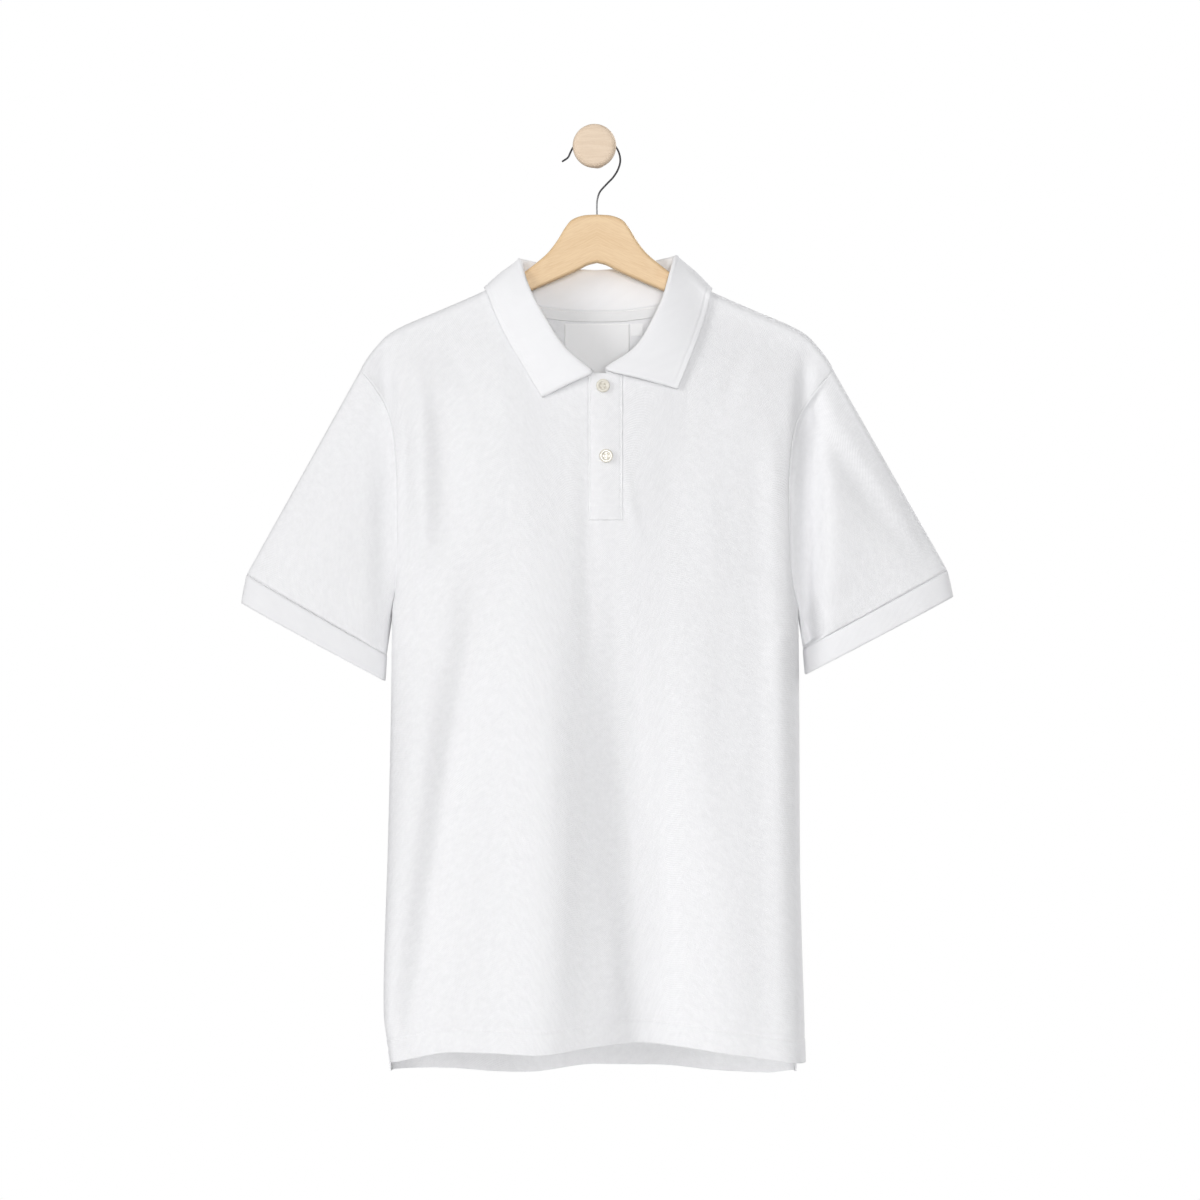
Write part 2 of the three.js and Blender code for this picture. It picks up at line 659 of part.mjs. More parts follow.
const placketTop = (x) => frontNeck(Math.abs(x - NECK_LEAN)) - SEAM_GAP;
const placketFoot = () => PLACKET_FOOT_Z;
const placketStrip = (near, far) =>
  laidPiece(
    onFront, PLACKET_LEFT, PLACKET_RIGHT, placketTop, placketFoot, PLACKET_COLUMNS, PLACKET_ROWS, near, far,
  );
const placketOver = placketStrip(LAID_GAP, LAID_GAP + PLACKET_WALL);
const placketUnder = placketStrip(-CLOTH - LAID_GAP - PLACKET_WALL, -CLOTH - LAID_GAP);

const insideBack = -CLOTH - LAID_GAP;
const tapeTop = (x) => backNeck(Math.abs(x)) - TAPE_BELOW_SEAM;
const neckTape = laidPiece(
  onBack, -TAPE_HALF, TAPE_HALF, tapeTop, (x) => tapeTop(x) - TAPE_HEIGHT,
  TAPE_COLUMNS, TAPE_ROWS, insideBack - TAPE_WALL, insideBack,
);

// Sleeves: rings of points round the arm, from the armhole seam to the cuff seam.
const armholeLast = YOKE_ROWS + ARMHOLE_ROWS;

// The ring just off a panel's edges, in line with its cloth. outer and inner are its two faces.
function armholeRing(sign) {
  const rim = (grid, normals, i) => {
    const last = grid[i].length - 1;
    const [edge, next] = sign < 0 ? [0, 1] : [last, last - 1];
    const onward = grid[i][edge].clone().sub(grid[i][next]).normalize();
    const outer = grid[i][edge].clone().addScaledVector(onward, ARMHOLE_GAP);
    return { outer, inner: outer.clone().addScaledVector(normals[i][edge], -CLOTH) };
  };
  const front = [];
  const back = [];
  for (let i = 0; i <= armholeLast; i++) {
    front.push(rim(frontGrid, frontNormals, i));
    back.push(rim(backGrid, backNormals, i));
  }
  const middle = ({ outer, inner }) => ({ outer: outer.setY(HANG_Y), inner: inner.setY(HANG_Y) });
  const top = middle(front[0]);
  const foot = middle(front[armholeLast]);
  foot.inner = foot.outer.clone().add(new THREE.Vector3(0, 0, CLOTH));
  return [top, ...front.slice(1, -1), foot, ...back.slice(1, -1).reverse()];
}

// Share of the way from the top of the armhole to the underarm for each point of a ring: 0, up to 1, and back.
const ringShares = (() => {
  const half = [];
  for (let i = 0; i <= armholeLast; i++) half.push(i);
  const heights = half.map((i) => frontGrid[i][0].z);
  const shares = heights.map((z) => (SHOULDER_TIP_Z - z) / (SHOULDER_TIP_Z - UNDERARM_Z));
  return [...shares, ...shares.slice(1, -1).reverse()];
})();
const ringCount = ringShares.length;
const ringFace = (j) => (j > 0 && j < armholeLast ? -1 : j > armholeLast ? 1 : 0);

// A flat oval ring between an outer and an inner corner, with the armhole ring's shares.
function ovalRing(sign, outerX, outerZ, innerX, innerZ, halfThickness) {
  return ringShares.map((share, j) => {
    const across = lerp(share, smooth(share), 0.35);
    const depth = halfThickness * (4 * across * (1 - across)) ** 0.42;
    return new THREE.Vector3(
      sign * lerp(outerX, innerX, across),
      HANG_Y - CUFF_FORWARD + ringFace(j) * depth,
      lerp(outerZ, innerZ, across),
    );
  });
}

function sleeveGrid(sleeve, start) {
  const { sign, seamOuterX, seamOuterZ, seamInnerX, seamInnerZ } = sleeve;
  const end = ovalRing(sign, seamOuterX, seamOuterZ, seamInnerX, seamInnerZ, CUFF_HALF_THICKNESS);
  const grid = [];
  for (let r = 0; r <= SLEEVE_RINGS; r++) {
    const t = (r / SLEEVE_RINGS) ** 1.15;
    grid.push(
      start.map((p, j) => {
        const share = ringShares[j];
        const swell = SLEEVE_BULGE * Math.sin(Math.PI * t) * Math.sin(Math.PI * share ** 0.8);
        const point = p.clone().lerp(end[j], t);
        return point.setY(point.y + ringFace(j) * swell);
      }),
    );
  }
  return grid;
}

function cuffGrid(s) {
  const grid = [];
  const gapShare = (SEAM_GAP + 0.1) / Math.hypot(s.hemOuterX - s.seamOuterX, s.hemOuterZ - s.seamOuterZ);
  for (let r = 0; r <= CUFF_RINGS; r++) {
    const t = lerp(gapShare, 1, r / CUFF_RINGS);
    grid.push(
      ovalRing(
        s.sign,
        lerp(s.seamOuterX, s.hemOuterX, t),
        lerp(s.seamOuterZ, s.hemOuterZ, t),
        lerp(s.seamInnerX, s.hemInnerX, t),
        lerp(s.seamInnerZ, s.hemInnerZ, t),
        CUFF_HALF_THICKNESS,
      ),
    );
  }
  return grid;
}

// Normals of a tube's rings, with its end rings' normals kept in the plane of the ring.
function ringNormals(grid, sign) {
  const normals = gridNormals(grid, sign, true);
  for (const i of [0, grid.length - 1]) {
    const plane = new THREE.Vector3();
    grid[i].forEach((p, j) => plane.add(p.clone().cross(grid[i][(j + 1) % grid[i].length])));
    plane.normalize();
    normals[i].forEach((n) => n.projectOnPlane(plane).normalize());
  }
  return normals;
}

function sleeveGeometry(sleeve) {
  const start = armholeRing(sleeve.sign);
  const outer = sleeveGrid(sleeve, start.map((p) => p.outer));
  const inner = moved(outer, ringNormals(outer, sleeve.sign), -CLOTH);
  inner[0] = start.map((p) => p.inner);
  return wallGeometry(outer, inner, true);
}

function cuffGeometry(sleeve) {
  const outer = cuffGrid(sleeve);
  return wallGeometry(outer, moved(outer, ringNormals(outer, sleeve.sign), -CUFF_WALL), true);
}

// Middle of a panel's cut rim at x, between the points of its outer and inner faces.
function rimPoint(outer, inner, x) {
  const i = Math.min(outer.length - 2, Math.max(0, outer.findLastIndex((p) => p.x <= x)));
  const t = clamp01((x - outer[i].x) / (outer[i + 1].x - outer[i].x));
  const face = outer[i].clone().lerp(outer[i + 1], t);
  const back = inner[i].clone().lerp(inner[i + 1], t);
  return new THREE.Vector3(face.x, (face.y + back.y) / 2, Math.max(face.z, back.z));
}

// Collar: stations round the neck, each with a line of points from the neck seam up the stand, over the
// fold and down the leaf.
function collarStation(table, share, sign) {
  const value = (key) => through(table, "side", key)(share);
  const seamShare = value("seam");
  const behind = share < COLLAR_BACK_SHARE;
  const seamX = behind
    ? NECK_HALF * (seamShare / COLLAR_BACK_SHARE)
    : lerp(NECK_HALF, COLLAR_FRONT_X, (seamShare - COLLAR_BACK_SHARE) / (1 - COLLAR_BACK_SHARE));
  const neckEnd = clamp01(seamX / NECK_HALF) ** 6;
  const seam = behind
    ? rimPoint(backGrid[0], backInner[0], sign * seamX)
    : rimPoint(frontGrid[0], frontInner[0], sign * seamX + neckLean(frontNeck(seamX)));
  seam.x -= sign * neckEnd * (COLLAR_WALL / 2);
  seam.z += SEAM_GAP + 0.1 + neckEnd * 0.6;
  const fold = new THREE.Vector3(sign * value("foldX"), value("foldY"), value("foldZ"));
  const place = behind ? onBack : onFront;
  const edgeX = value("edgeX");
  const edgeZ = Math.min(value("edgeZ"), shoulderLine(edgeX) - 0.3);
  const edge = place(sign * edgeX, edgeZ, value("lift") + COLLAR_WALL / 2);
  return { seam, fold, edge, behind };
}

function collarGrid() {
  const shares = [];
  for (let i = 0; i < COLLAR_BACK_STATIONS; i++) {
    shares.push(COLLAR_BACK_SHARE * quarterSine(i / COLLAR_BACK_STATIONS));
  }
  for (let i = 0; i <= COLLAR_FRONT_STATIONS; i++) {
    const crowded = 1 - quarterSine(1 - i / COLLAR_FRONT_STATIONS);
    shares.push(COLLAR_BACK_SHARE + (1 - COLLAR_BACK_SHARE) * crowded);
  }
  const half = (table, sign) => shares.map((share) => collarStation(table, share, sign));
  const stations = [...half(COLLAR_LEFT, -1).slice(1).reverse(), ...half(COLLAR_RIGHT, 1)];
  const centre = new THREE.Vector3(2, -50, 0);
  return stations.map(({ seam, fold, edge, behind }) => {
    const out = fold.clone().sub(centre).setZ(0).normalize();
    const stand = fold.clone().sub(seam);
    const roll = Math.min(COLLAR_ROLL, stand.length() * 0.3);
    const leaf = edge.clone().sub(fold);
    const inner = fold.clone().addScaledVector(out, -roll).add(new THREE.Vector3(0, 0, -roll));
    const outer = fold.clone().addScaledVector(out, roll).add(new THREE.Vector3(0, 0, -roll));
    const standMid = seam.clone().lerp(inner, 0.5).addScaledVector(out, -0.6);
    const leafMid = outer.clone().lerp(edge, 0.45).addScaledVector(out, leaf.length() * 0.035);
    const knots = [seam, standMid, inner, fold, outer, leafMid, edge];
    const line = new THREE.CatmullRomCurve3(knots, false, "centripetal");
    const spots = [];
    for (let k = 0; k <= COLLAR_STAND_STEPS; k++) spots.push((2 / 6) * (k / COLLAR_STAND_STEPS));
    spots.push(2.5 / 6, 3 / 6, 3.5 / 6);
    for (let k = 0; k <= COLLAR_LEAF_STEPS; k++) spots.push(4 / 6 + (2 / 6) * (k / COLLAR_LEAF_STEPS));
    return spots.map((t) => {
      const point = line.getPoint(t);
      const clear = COLLAR_WALL / 2 + 2;
      if (t > 0.55 && behind) point.y = Math.max(point.y, backY(point.x, point.z) + clear);
      if (t > 0.55 && !behind) point.y = Math.min(point.y, frontY(point.x, point.z) - clear);
      return point;
    });
  });
}

const collarMiddle = collarGrid();
const collarNormals = gridNormals(collarMiddle, 1);
const collar = wallGeometry(
  moved(collarMiddle, collarNormals, COLLAR_WALL / 2),
  moved(collarMiddle, collarNormals, -COLLAR_WALL / 2),
);

// Hanger: a flat board cut to its outline, with a hole for the hook's shank
function hangerGeometry() {
  const shape = new THREE.Shape();
  const half = [...HANGER_TOP, ...HANGER_FOOT];
  const right = new THREE.CatmullRomCurve3(
    half.map((p) => new THREE.Vector3(p.x, p.z, 0)), false, "centripetal",
  ).getPoints(HANGER_POINTS);
  const left = right.slice(1, -1).reverse().map((p) => new THREE.Vector3(-p.x, p.y, 0));
  const outline = [...right, ...left].map((p) => new THREE.Vector2(p.x, p.y));
  shape.setFromPoints(outline);
  const board = new THREE.ExtrudeGeometry(shape, {
    depth: HANGER_THICKNESS - 2 * HANGER_BEVEL,
    bevelEnabled: true,
    bevelThickness: HANGER_BEVEL,
    bevelSize: HANGER_BEVEL,
    bevelOffset: -HANGER_BEVEL,
    bevelSegments: 3,
  });
  board.rotateX(Math.PI / 2);
  board.translate(0, HANG_Y + HANGER_THICKNESS / 2 - HANGER_BEVEL, 0);
  const holeRadius = HOOK_RADIUS + SEAM_GAP;
  const holeTop = HANGER_TOP[0].z + HOOK_HOLE_SPARE;
  const holeFoot = HOOK_FOOT_Z - HOOK_HOLE_SPARE;
  const hole = new THREE.CylinderGeometry(holeRadius, holeRadius, holeTop - holeFoot, 12);
  hole.rotateX(Math.PI / 2);
  hole.translate(0, HANG_Y, (holeTop + holeFoot) / 2);
  return geometryOf(solidOf(board).subtract(solidOf(hole)));
}

// Hook: round wire along its line
function hookGeometry() {
  const line = new THREE.CatmullRomCurve3(
    HOOK_LINE.map((p) => new THREE.Vector3(p.x, HANG_Y, p.z)), false, "centripetal",
  );
  const wire = new THREE.Shape();
  wire.absarc(0, 0, HOOK_RADIUS, 0, 2 * Math.PI);
  return new THREE.ExtrudeGeometry(wire, { steps: HOOK_STEPS, curveSegments: 4, extrudePath: line });
}

// Peg: a stem on the wall and a round head with a slightly domed face
function pegGeometry() {
  const headBack = PEG_STEM_LENGTH;
  const headFront = PEG_STEM_LENGTH + PEG_HEAD_THICKNESS;
  const r = PEG_HEAD_RADIUS;
  const profile = [
    [0, 0],
    [PEG_STEM_RADIUS, 0],
    [PEG_STEM_RADIUS, headBack - 2],
    [PEG_STEM_RADIUS + 2, headBack],
    [r - 3, headBack + 1],
    [r - 0.7, headBack + 3],
    [r, headBack + 6],
    [r, headFront - 5],
    [r - 0.9, headFront - 2.4],
    [r - 3.2, headFront - 0.8],
    [r - 9, headFront - 0.1],
    [0, headFront],
  ].map(([radius, along]) => new THREE.Vector2(radius, along));
  const peg = new THREE.LatheGeometry(profile, PEG_SIDES);
  peg.rotateX(Math.PI);
  return peg;
}

// Buttons: a turned disc with a dished face and four holes, on the outer placket strip
const BUTTONS = [
  { name: "button_upper", x: 5.5, z: -226.5 },
  { name: "button_lower", x: 8.4, z: -292 },
];
function buttonGeometry(place) {
  const profile = [
    [0, 0],
    [BUTTON_RADIUS - 1.2, 0],
    [BUTTON_RADIUS, 0.9],
    [BUTTON_RADIUS, 1.7],
    [BUTTON_RADIUS - 0.7, BUTTON_THICKNESS],
    [BUTTON_RADIUS - 1.8, BUTTON_THICKNESS],
    [BUTTON_RADIUS - 2.8, BUTTON_THICKNESS - 0.7],
    [0, BUTTON_THICKNESS - 0.8],
  ].map(([radius, along]) => new THREE.Vector2(radius, along));
  let disc = solidOf(new THREE.LatheGeometry(profile, BUTTON_SIDES));
  for (const sx of [-1, 1]) {
    for (const sz of [-1, 1]) {
      const hole = new THREE.CylinderGeometry(
        BUTTON_HOLE_RADIUS, BUTTON_HOLE_RADIUS, BUTTON_THICKNESS * 3, 8,
      );
      hole.translate(sx * BUTTON_HOLE_PITCH, 0, sz * BUTTON_HOLE_PITCH);
      disc = disc.subtract(solidOf(hole));
    }
  }
  const face = LAID_GAP + PLACKET_WALL;
  const foot = onFront(place.x, place.z, face + LAID_GAP);
  const outward = onFront(place.x, place.z, face + 1).sub(onFront(place.x, place.z, face)).normalize();
  const turn = new THREE.Quaternion().setFromUnitVectors(new THREE.Vector3(0, 1, 0), outward);
  const geometry = geometryOf(disc);
  geometry.applyQuaternion(turn);
  geometry.translate(foot.x, foot.y, foot.z);
  return geometry;
}

// Materials
const cloth = () => new THREE.MeshStandardMaterial({ color: 0xf1f1f3, roughness: 0.92 });
const knit = () => new THREE.MeshStandardMaterial({ color: 0xf3f3f5, roughness: 0.9 });
const tape = () => new THREE.MeshStandardMaterial({ color: 0xf6f6f6, roughness: 0.75 });
const wood = () => new THREE.MeshStandardMaterial({ color: 0xe3b983, roughness: 0.55 });
const paleWood = () => new THREE.MeshStandardMaterial({ color: 0xe4d2b6, roughness: 0.65 });
const steel = () => new THREE.MeshStandardMaterial({ color: 0xb9bbbe, roughness: 0.18, metalness: 1 });
const shell = () => new THREE.MeshStandardMaterial({ color: 0xece4d2, roughness: 0.25 });

const shirt = new THREE.Group();
const hung = new THREE.Group();

function add(group, name, geometry, material) {
  const mesh = new THREE.Mesh(geometry, material);
  mesh.name = name;
  group.add(mesh);
}

add(shirt, "front_panel", frontPanel, cloth());
add(shirt, "back_panel", backPanel, cloth());
for (const sleeve of SLEEVES) {
  add(shirt, `sleeve_${sleeve.name}`, sleeveGeometry(sleeve), cloth());
  add(shirt, `cuff_${sleeve.name}`, cuffGeometry(sleeve), knit());
}
add(shirt, "collar", collar, knit());
add(shirt, "placket_over", placketOver, cloth());
add(shirt, "placket_under", placketUnder, cloth());
for (const place of BUTTONS) add(shirt, place.name, buttonGeometry(place), shell());
add(shirt, "neck_tape", neckTape, cloth());
for (const label of LABELS) {
  const piece = laidPiece(
    onBack, label.left, label.right, () => label.top, () => label.foot,
    LABEL_CELLS, LABEL_CELLS, insideBack - TAPE_WALL, insideBack,
  );
  add(shirt, label.name, piece, tape());
}
add(hung, "hanger", hangerGeometry(), wood());
add(hung, "hook", hookGeometry(), steel());
add(hung, "wall_peg", pegGeometry(), paleWood());
hung.add(shirt);

export default hung;
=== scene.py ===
"""Looks of a white knit polo shirt on a flat wooden hanger, hung by its wire hook from a round wall peg.

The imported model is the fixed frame: metres, +Z up, the wall is the plane y = 0 and the shirt faces -Y.
The forms below are worked out in millimetres, with the dimensions of the solids that they stand for, and
become metres where they are put into a mesh. Each cloth piece is a grid of points, given its thickness
by a Solidify modifier, and carries a UV map of its own threads' lengths in metres.
"""

import bmesh
import bpy
import numpy as np
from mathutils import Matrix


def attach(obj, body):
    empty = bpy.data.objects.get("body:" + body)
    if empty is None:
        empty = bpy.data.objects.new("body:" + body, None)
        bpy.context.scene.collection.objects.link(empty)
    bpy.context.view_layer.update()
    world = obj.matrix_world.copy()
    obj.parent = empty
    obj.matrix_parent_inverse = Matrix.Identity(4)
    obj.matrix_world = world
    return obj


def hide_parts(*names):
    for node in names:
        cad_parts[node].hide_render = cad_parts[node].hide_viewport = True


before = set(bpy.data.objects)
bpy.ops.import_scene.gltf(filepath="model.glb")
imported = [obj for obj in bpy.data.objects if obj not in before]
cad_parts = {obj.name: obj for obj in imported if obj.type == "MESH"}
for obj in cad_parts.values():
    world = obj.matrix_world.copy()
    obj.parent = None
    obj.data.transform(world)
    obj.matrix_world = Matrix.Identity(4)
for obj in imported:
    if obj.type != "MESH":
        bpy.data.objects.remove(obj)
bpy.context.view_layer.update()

MM = 0.001

# dimensions, as in the solids (mm)
HANG_Y = -40.0  # plane of the hook, the hanger and the shoulder and side seams
SHOULDER_ROLL = 10.5
SHOULDER_TIP = (224.0, -206.0)
UNDERARM_Z = -436.0
NECK_HALF = 90.0
FRONT_NECK_Z = -216.5
NECK_LEAN = 5.0
HEM_Z = -850.0
VENT_HEIGHT = 32.0
VENT_SPREAD = 2.5
PLACKET_LEFT, PLACKET_RIGHT, PLACKET_FOOT_Z, PLACKET_LAP = -8.3, 24.3, -352.0, 3.0
NECK_SHARE = 0.44
CUFF_HALF_THICKNESS, CUFF_FORWARD = 19.0, 2.0
SLEEVE_BULGE = 9.0
COLLAR_BACK_SHARE = 0.44
COLLAR_FRONT_X = 4.0
COLLAR_ROLL = 2.4

# Walls of the cloth pieces that stand on the solids' form (mm)
PIQUE_WALL = 1.3
KNIT_WALL = 1.7
PLACKET_WALL = 0.5
TAPE_WALL = 0.25
SEAM_HALF_GAP = 0.04

# z, left half-width, right half-width, turn of the edge round the section in degrees
BODY_EDGE = [
    (-120, 224, 224, 56), (-206, 224, 224, 58), (-222, 212.5, 212, 61), (-240, 201, 198.5, 66),
    (-262, 194, 188, 71), (-288, 190.5, 183, 75), (-323, 189, 181, 77), (-384, 188.5, 182, 79),
    (-415, 190.5, 186, 83), (-436, 194, 190.5, 90), (-520, 195, 191.5, 90), (-664, 198, 192, 90),
    (-800, 201.5, 195.5, 90), (-890, 199, 199, 90),
]
# z, how far the front and the back stand off the seam plane at the middle
BODY_DEPTH = [
    (-110, 38, 27), (-215, 42, 29), (-300, 45, 30), (-440, 50, 31), (-650, 54, 31), (-890, 58, 31),
]
SHOULDER_LINE = [
    (0, -88), (60, -108.5), (90, -123), (107, -132.5), (150, -151.5), (188, -168), (200, -175.5),
    (209, -185), (217, -195), (224, -206),
]
FRONT_NECK = [
    (0, -216.5), (13, -215.5), (26, -211), (39, -202), (52, -188.5), (64, -172.5), (74, -156),
    (82, -140), (87.5, -129), (90, -123),
]
BACK_NECK = [
    (0, -151.5), (24, -151), (46, -148.5), (64, -145.5), (78, -140.5), (85, -135), (88.5, -129),
    (90, -123),
]
FRONT_HEM = [
    (-200, -861), (-130, -848), (-60, -848.5), (0, -842.5), (35, -841), (76, -844), (130, -851),
    (200, -862),
]
BACK_HEM = [
    (-200, -874), (-142, -875), (-66, -879.5), (0, -870.5), (58, -872), (120, -877), (168, -879),
    (200, -874),
]

# Large folds: top x, top z, foot x, foot z, half-width at the top and the foot, depth (above 0 a trough,
# below 0 a ridge), the shares of the length over which it rises and dies away, and how many times wider
# its flank at +X is than the one at -X.
FRONT_FOLDS = [
    (12, -290, 50, -890, 24, 37, 19, 0.66, 0, 1.55), (-32, -280, -54, -890, 22, 32, -8, 0.6, 0, 1.0),
    (28, -720, 38, -890, 13, 17, 2, 0.6, 0, 1.3), (-96, -330, -182, -890, 24, 28, 7.5, 0.4, 0, 1.3),
    (-130, -340, -218, -890, 17, 20, -6.5, 0.4, 0, 1.0), (-168, -185, -160, -430, 11, 14, -6, 0.3, 0.4, 1.0),
    (-142, -225, -136, -440, 13, 18, 3, 0.3, 0.4, 1.2), (168, -240, 180, -890, 13, 18, -6, 0.12, 0, 1.0),
    (-203, -172, -194, -300, 9, 9, 7, 0.4, 0.5, 1.0), (202, -172, 189, -300, 9, 9, 7, 0.4, 0.5, 1.0),
]
BACK_FOLDS = [
    (-20, -330, 8, -890, 26, 44, 10, 0.5, 0, 1.2), (-92, -300, -104, -890, 24, 30, 6, 0.5, 0, 1.0),
    (96, -260, 112, -890, 22, 32, 7, 0.5, 0, 1.3),
]

# Small creases: from x, z to x, z, half-width at each end, depth (above 0 a trough) and sideways bow.
FRONT_CREASES = [
    (-181, -225, -174, -410, 5, 7, 1.8, 2), (25, -292, 40, -378, 5, 6, -1.4, 1),
    (52, -262, 91, -440, 9, 14, 0.6, -4), (-7.0, -349, -4, -434, 3.0, 5.0, -0.8, 0),
    (-9, -218, -6, -520, 8, 10, 2.4, 0), (-24, -600, -33, -845, 9, 13, -1.0, 3),
    (-92, -520, -99, -800, 12, 16, 1.4, 3), (118, -430, 126, -720, 14, 18, 1.2, 4),
    (-189, -424, -152, -384, 6, 10, 1.0, 3), (-190, -440, -146, -494, 6, 11, 1.2, -4),
    (185, -420, 152, -380, 6, 10, 1.0, -3), (187, -438, 144, -486, 6, 11, 1.1, 4),
    (-118, -236, -92, -262, 4, 6, 1.0, 2), (-150, -178, -120, -236, 6, 9, 1.3, -3),
    (146, -182, 118, -250, 6, 9, 1.3, 3), (12, -700, 22, -850, 8, 10, -1.2, 2),
    (-66, -380, -72, -620, 12, 16, -1.0, 3), (72, -640, 84, -852, 10, 13, -1.2, -3),
    (104, -300, 112, -420, 10, 14, -1.0, 2), (-90, -290, -84, -440, 12, 16, 1.1, 4),
    (34, -440, 38, -640, 7, 10, 0.9, -2), (184, -232, 184, -474, 9, 9, -6.5, 0),
    (189, -410, 193, -1010, 9, 9, -4.0, 0),
    (-128, -700, -140, -850, 8, 10, -1.1, 2), (-40, -330, -54, -1080, 32, 38, -4.8, 0),
    (-108, -380, -203, -1010, 11, 13, 1.7, 0), (-124, -380, -219, -1010, 11, 13, -1.7, 0),
    (52, -760, 68, -1010, 15, 20, 1.8, 0),
    (-154, -320, -150, -600, 10, 14, 1.6, 0), (-188, -590, -194, -1150, 34, 40, -6.0, 0),
]
BACK_CREASES = [
    (-120, -190, -66, -300, 9, 14, 2.4, 5), (118, -196, 70, -290, 9, 14, 2.0, -5),
    (-186, -430, -130, -384, 6, 10, 2.2, 3), (184, -432, 128, -470, 6, 10, 2.2, 4),
    (40, -480, 52, -860, 12, 18, -2.6, 5), (-52, -520, -58, -860, 10, 15, -2.4, -4),
    (-150, -480, -146, -860, 12, 16, 2.4, 5), (152, -520, 150, -860, 12, 16, 2.2, -4),
    (0, -190, 6, -360, 16, 22, -1.8, 3), (-30, -620, -24, -868, 8, 12, 1.8, 3),
]
# Small creases of the sleeves' faces, for the sleeve at -X and the one at +X
SLEEVE_CREASES = {
    "left": [
        (-226, -300, -238, -470, 12, 17, 1.2, -5),
        (-236, -226, -292, -400, 14, 20, 1.3, 6), (-262, -330, -290, -440, 10, 14, -1.3, 3),
        (-206, -440, -262, -398, 7, 12, 1.2, -4), (-300, -340, -318, -408, 7, 9, 1.0, 2),
        (-200, -236, -201, -520, 12, 12, 4.5, 0),
    ],
    "right": [
        (216, -250, 224, -478, 11, 15, -0.3, -3), (250, -290, 268, -452, 16, 24, 0.7, 5),
        (232, -224, 266, -330, 9, 15, 0.3, -3), (270, -330, 300, -432, 12, 17, -0.5, -3),
        (203, -440, 250, -404, 7, 12, 1.1, 4), (298, -330, 320, -404, 7, 9, 1.0, -2),
        (201, -206, 198, -534, 11.5, 12.0, 20.0, 0),
    ],
}

# side share, seam share, fold x y z, edge x z, lift of the leaf's edge
COLLAR_RIGHT = [
    (0, 0, 0, -17, -111, 0, -162, 8), (0.15, 0.14, 32, -17.5, -109, 40, -161, 8),
    (0.27, 0.26, 58, -21, -102, 74, -155, 7), (0.36, 0.35, 70, -29, -100, 97, -143, 5),
    (0.44, 0.44, 75.5, -40, -99.5, 108, -131, 1.3), (0.54, 0.53, 72, -53, -113, 106, -141, 3),
    (0.66, 0.65, 66, -64, -135, 101, -160, 3), (0.78, 0.77, 55.5, -72, -159, 93.5, -182, 3.0),
    (0.89, 0.88, 37, -78.5, -189, 84.5, -206, 3), (1, 1, 8.5, -82.5, -209, 75, -229.5, 2.6),
]
COLLAR_LEFT = [
    (0, 0, 0, -17, -111, 0, -162, 8), (0.15, 0.14, 32, -17.5, -109.5, 40, -161, 8),
    (0.27, 0.26, 58, -21, -104, 74, -155, 7), (0.36, 0.35, 69, -29, -102.5, 96, -142, 5),
    (0.44, 0.44, 74, -40, -102.5, 106, -131, 1.3), (0.54, 0.53, 70.5, -53, -118, 101, -143, 2),
    (0.66, 0.65, 62, -64, -139, 93, -163, 1), (0.78, 0.77, 49, -72, -162, 82, -185, 0.7),
    (0.89, 0.88, 31, -78.5, -189, 68.5, -208, 0.7), (1, 1, 4, -82.5, -212.5, 51, -237.5, 1.2),
]

# sign, cuff seam's outer and inner corner, cuff edge's outer and inner corner, each as x, z
SLEEVES = {
    "left": (-1, (332.5, -402), (199.5, -478), (337.5, -429), (201, -503)),
    "right": (1, (332.5, -398), (195.5, -472), (338, -423), (197.5, -497)),
}

LABELS = {
    "neck_label": (-31.5, 31.2, -162.0, -210.0),
    "size_label": (32.3, 44.0, -162.0, -173.5),
}
TAPE_HALF, TAPE_HEIGHT, TAPE_BELOW_SEAM = 62.0, 10.2, -1.2

BUTTONS = {"button_upper": (5.5, -226.5), "button_lower": (8.4, -292.0)}
BUTTON_RADIUS, BUTTON_THICKNESS = 6.4, 2.6
BUTTON_HOLE_RADIUS, BUTTON_HOLE_PITCH = 0.85, 1.55

HANGER_HALF_THICKNESS, HANGER_ROUND = 5.5, 3.0
HANGER_OUTLINE = [
    (0, -60.5), (14, -61.6), (24.5, -66), (31, -74), (37, -84), (46, -96), (56.5, -105.5),
    (71, -116.6), (90, -129.8), (107, -137.6), (150, -156), (186, -172), (195, -177.5),
    (198.5, -184.5), (194, -190), (185, -187.2), (107, -152.3), (63, -133), (20.5, -114.4),
    (9, -108.4), (0, -106),
]
HOOK_LINE = [
    (0, -79), (0, -62), (0.2, -47), (2.6, -39), (9, -31.5), (15.7, -24.4), (20.2, -16.8),
    (22.1, -9.3), (20.9, -1.6), (16.8, 5.4), (9.4, 10.4), (0, 12), (-9.6, 10.8), (-17.6, 7.6),
    (-22.6, 3.6), (-25.2, -1.2), (-27.6, -6), (-32.6, -9.6),
]
HOOK_RADIUS = 0.9
PEG_HEAD_ASIDE = (-2.4, 1.9)  # how far the head's middle lies off the stem's
# Peg's profile: radius, distance from the wall
PEG_PROFILE = [
    (0, 0), (10.2, 0), (10.2, 48), (12.2, 50), (18.4, 51), (20.7, 53), (21.4, 56), (21.4, 61),
    (20.5, 63.6), (18.2, 65.2), (12.4, 65.9), (0, 66),
]


# plain functions
def lerp(a, b, t):
    return a + (b - a) * t


def smooth(t):
    """Smooth step: 3 t squared less 2 t cubed, held at 0 and 1 outside."""
    t = np.clip(t, 0, 1)
    return t * t * (3 - 2 * t)


def bell(distance, half):
    return np.exp(-((distance / half) ** 2))


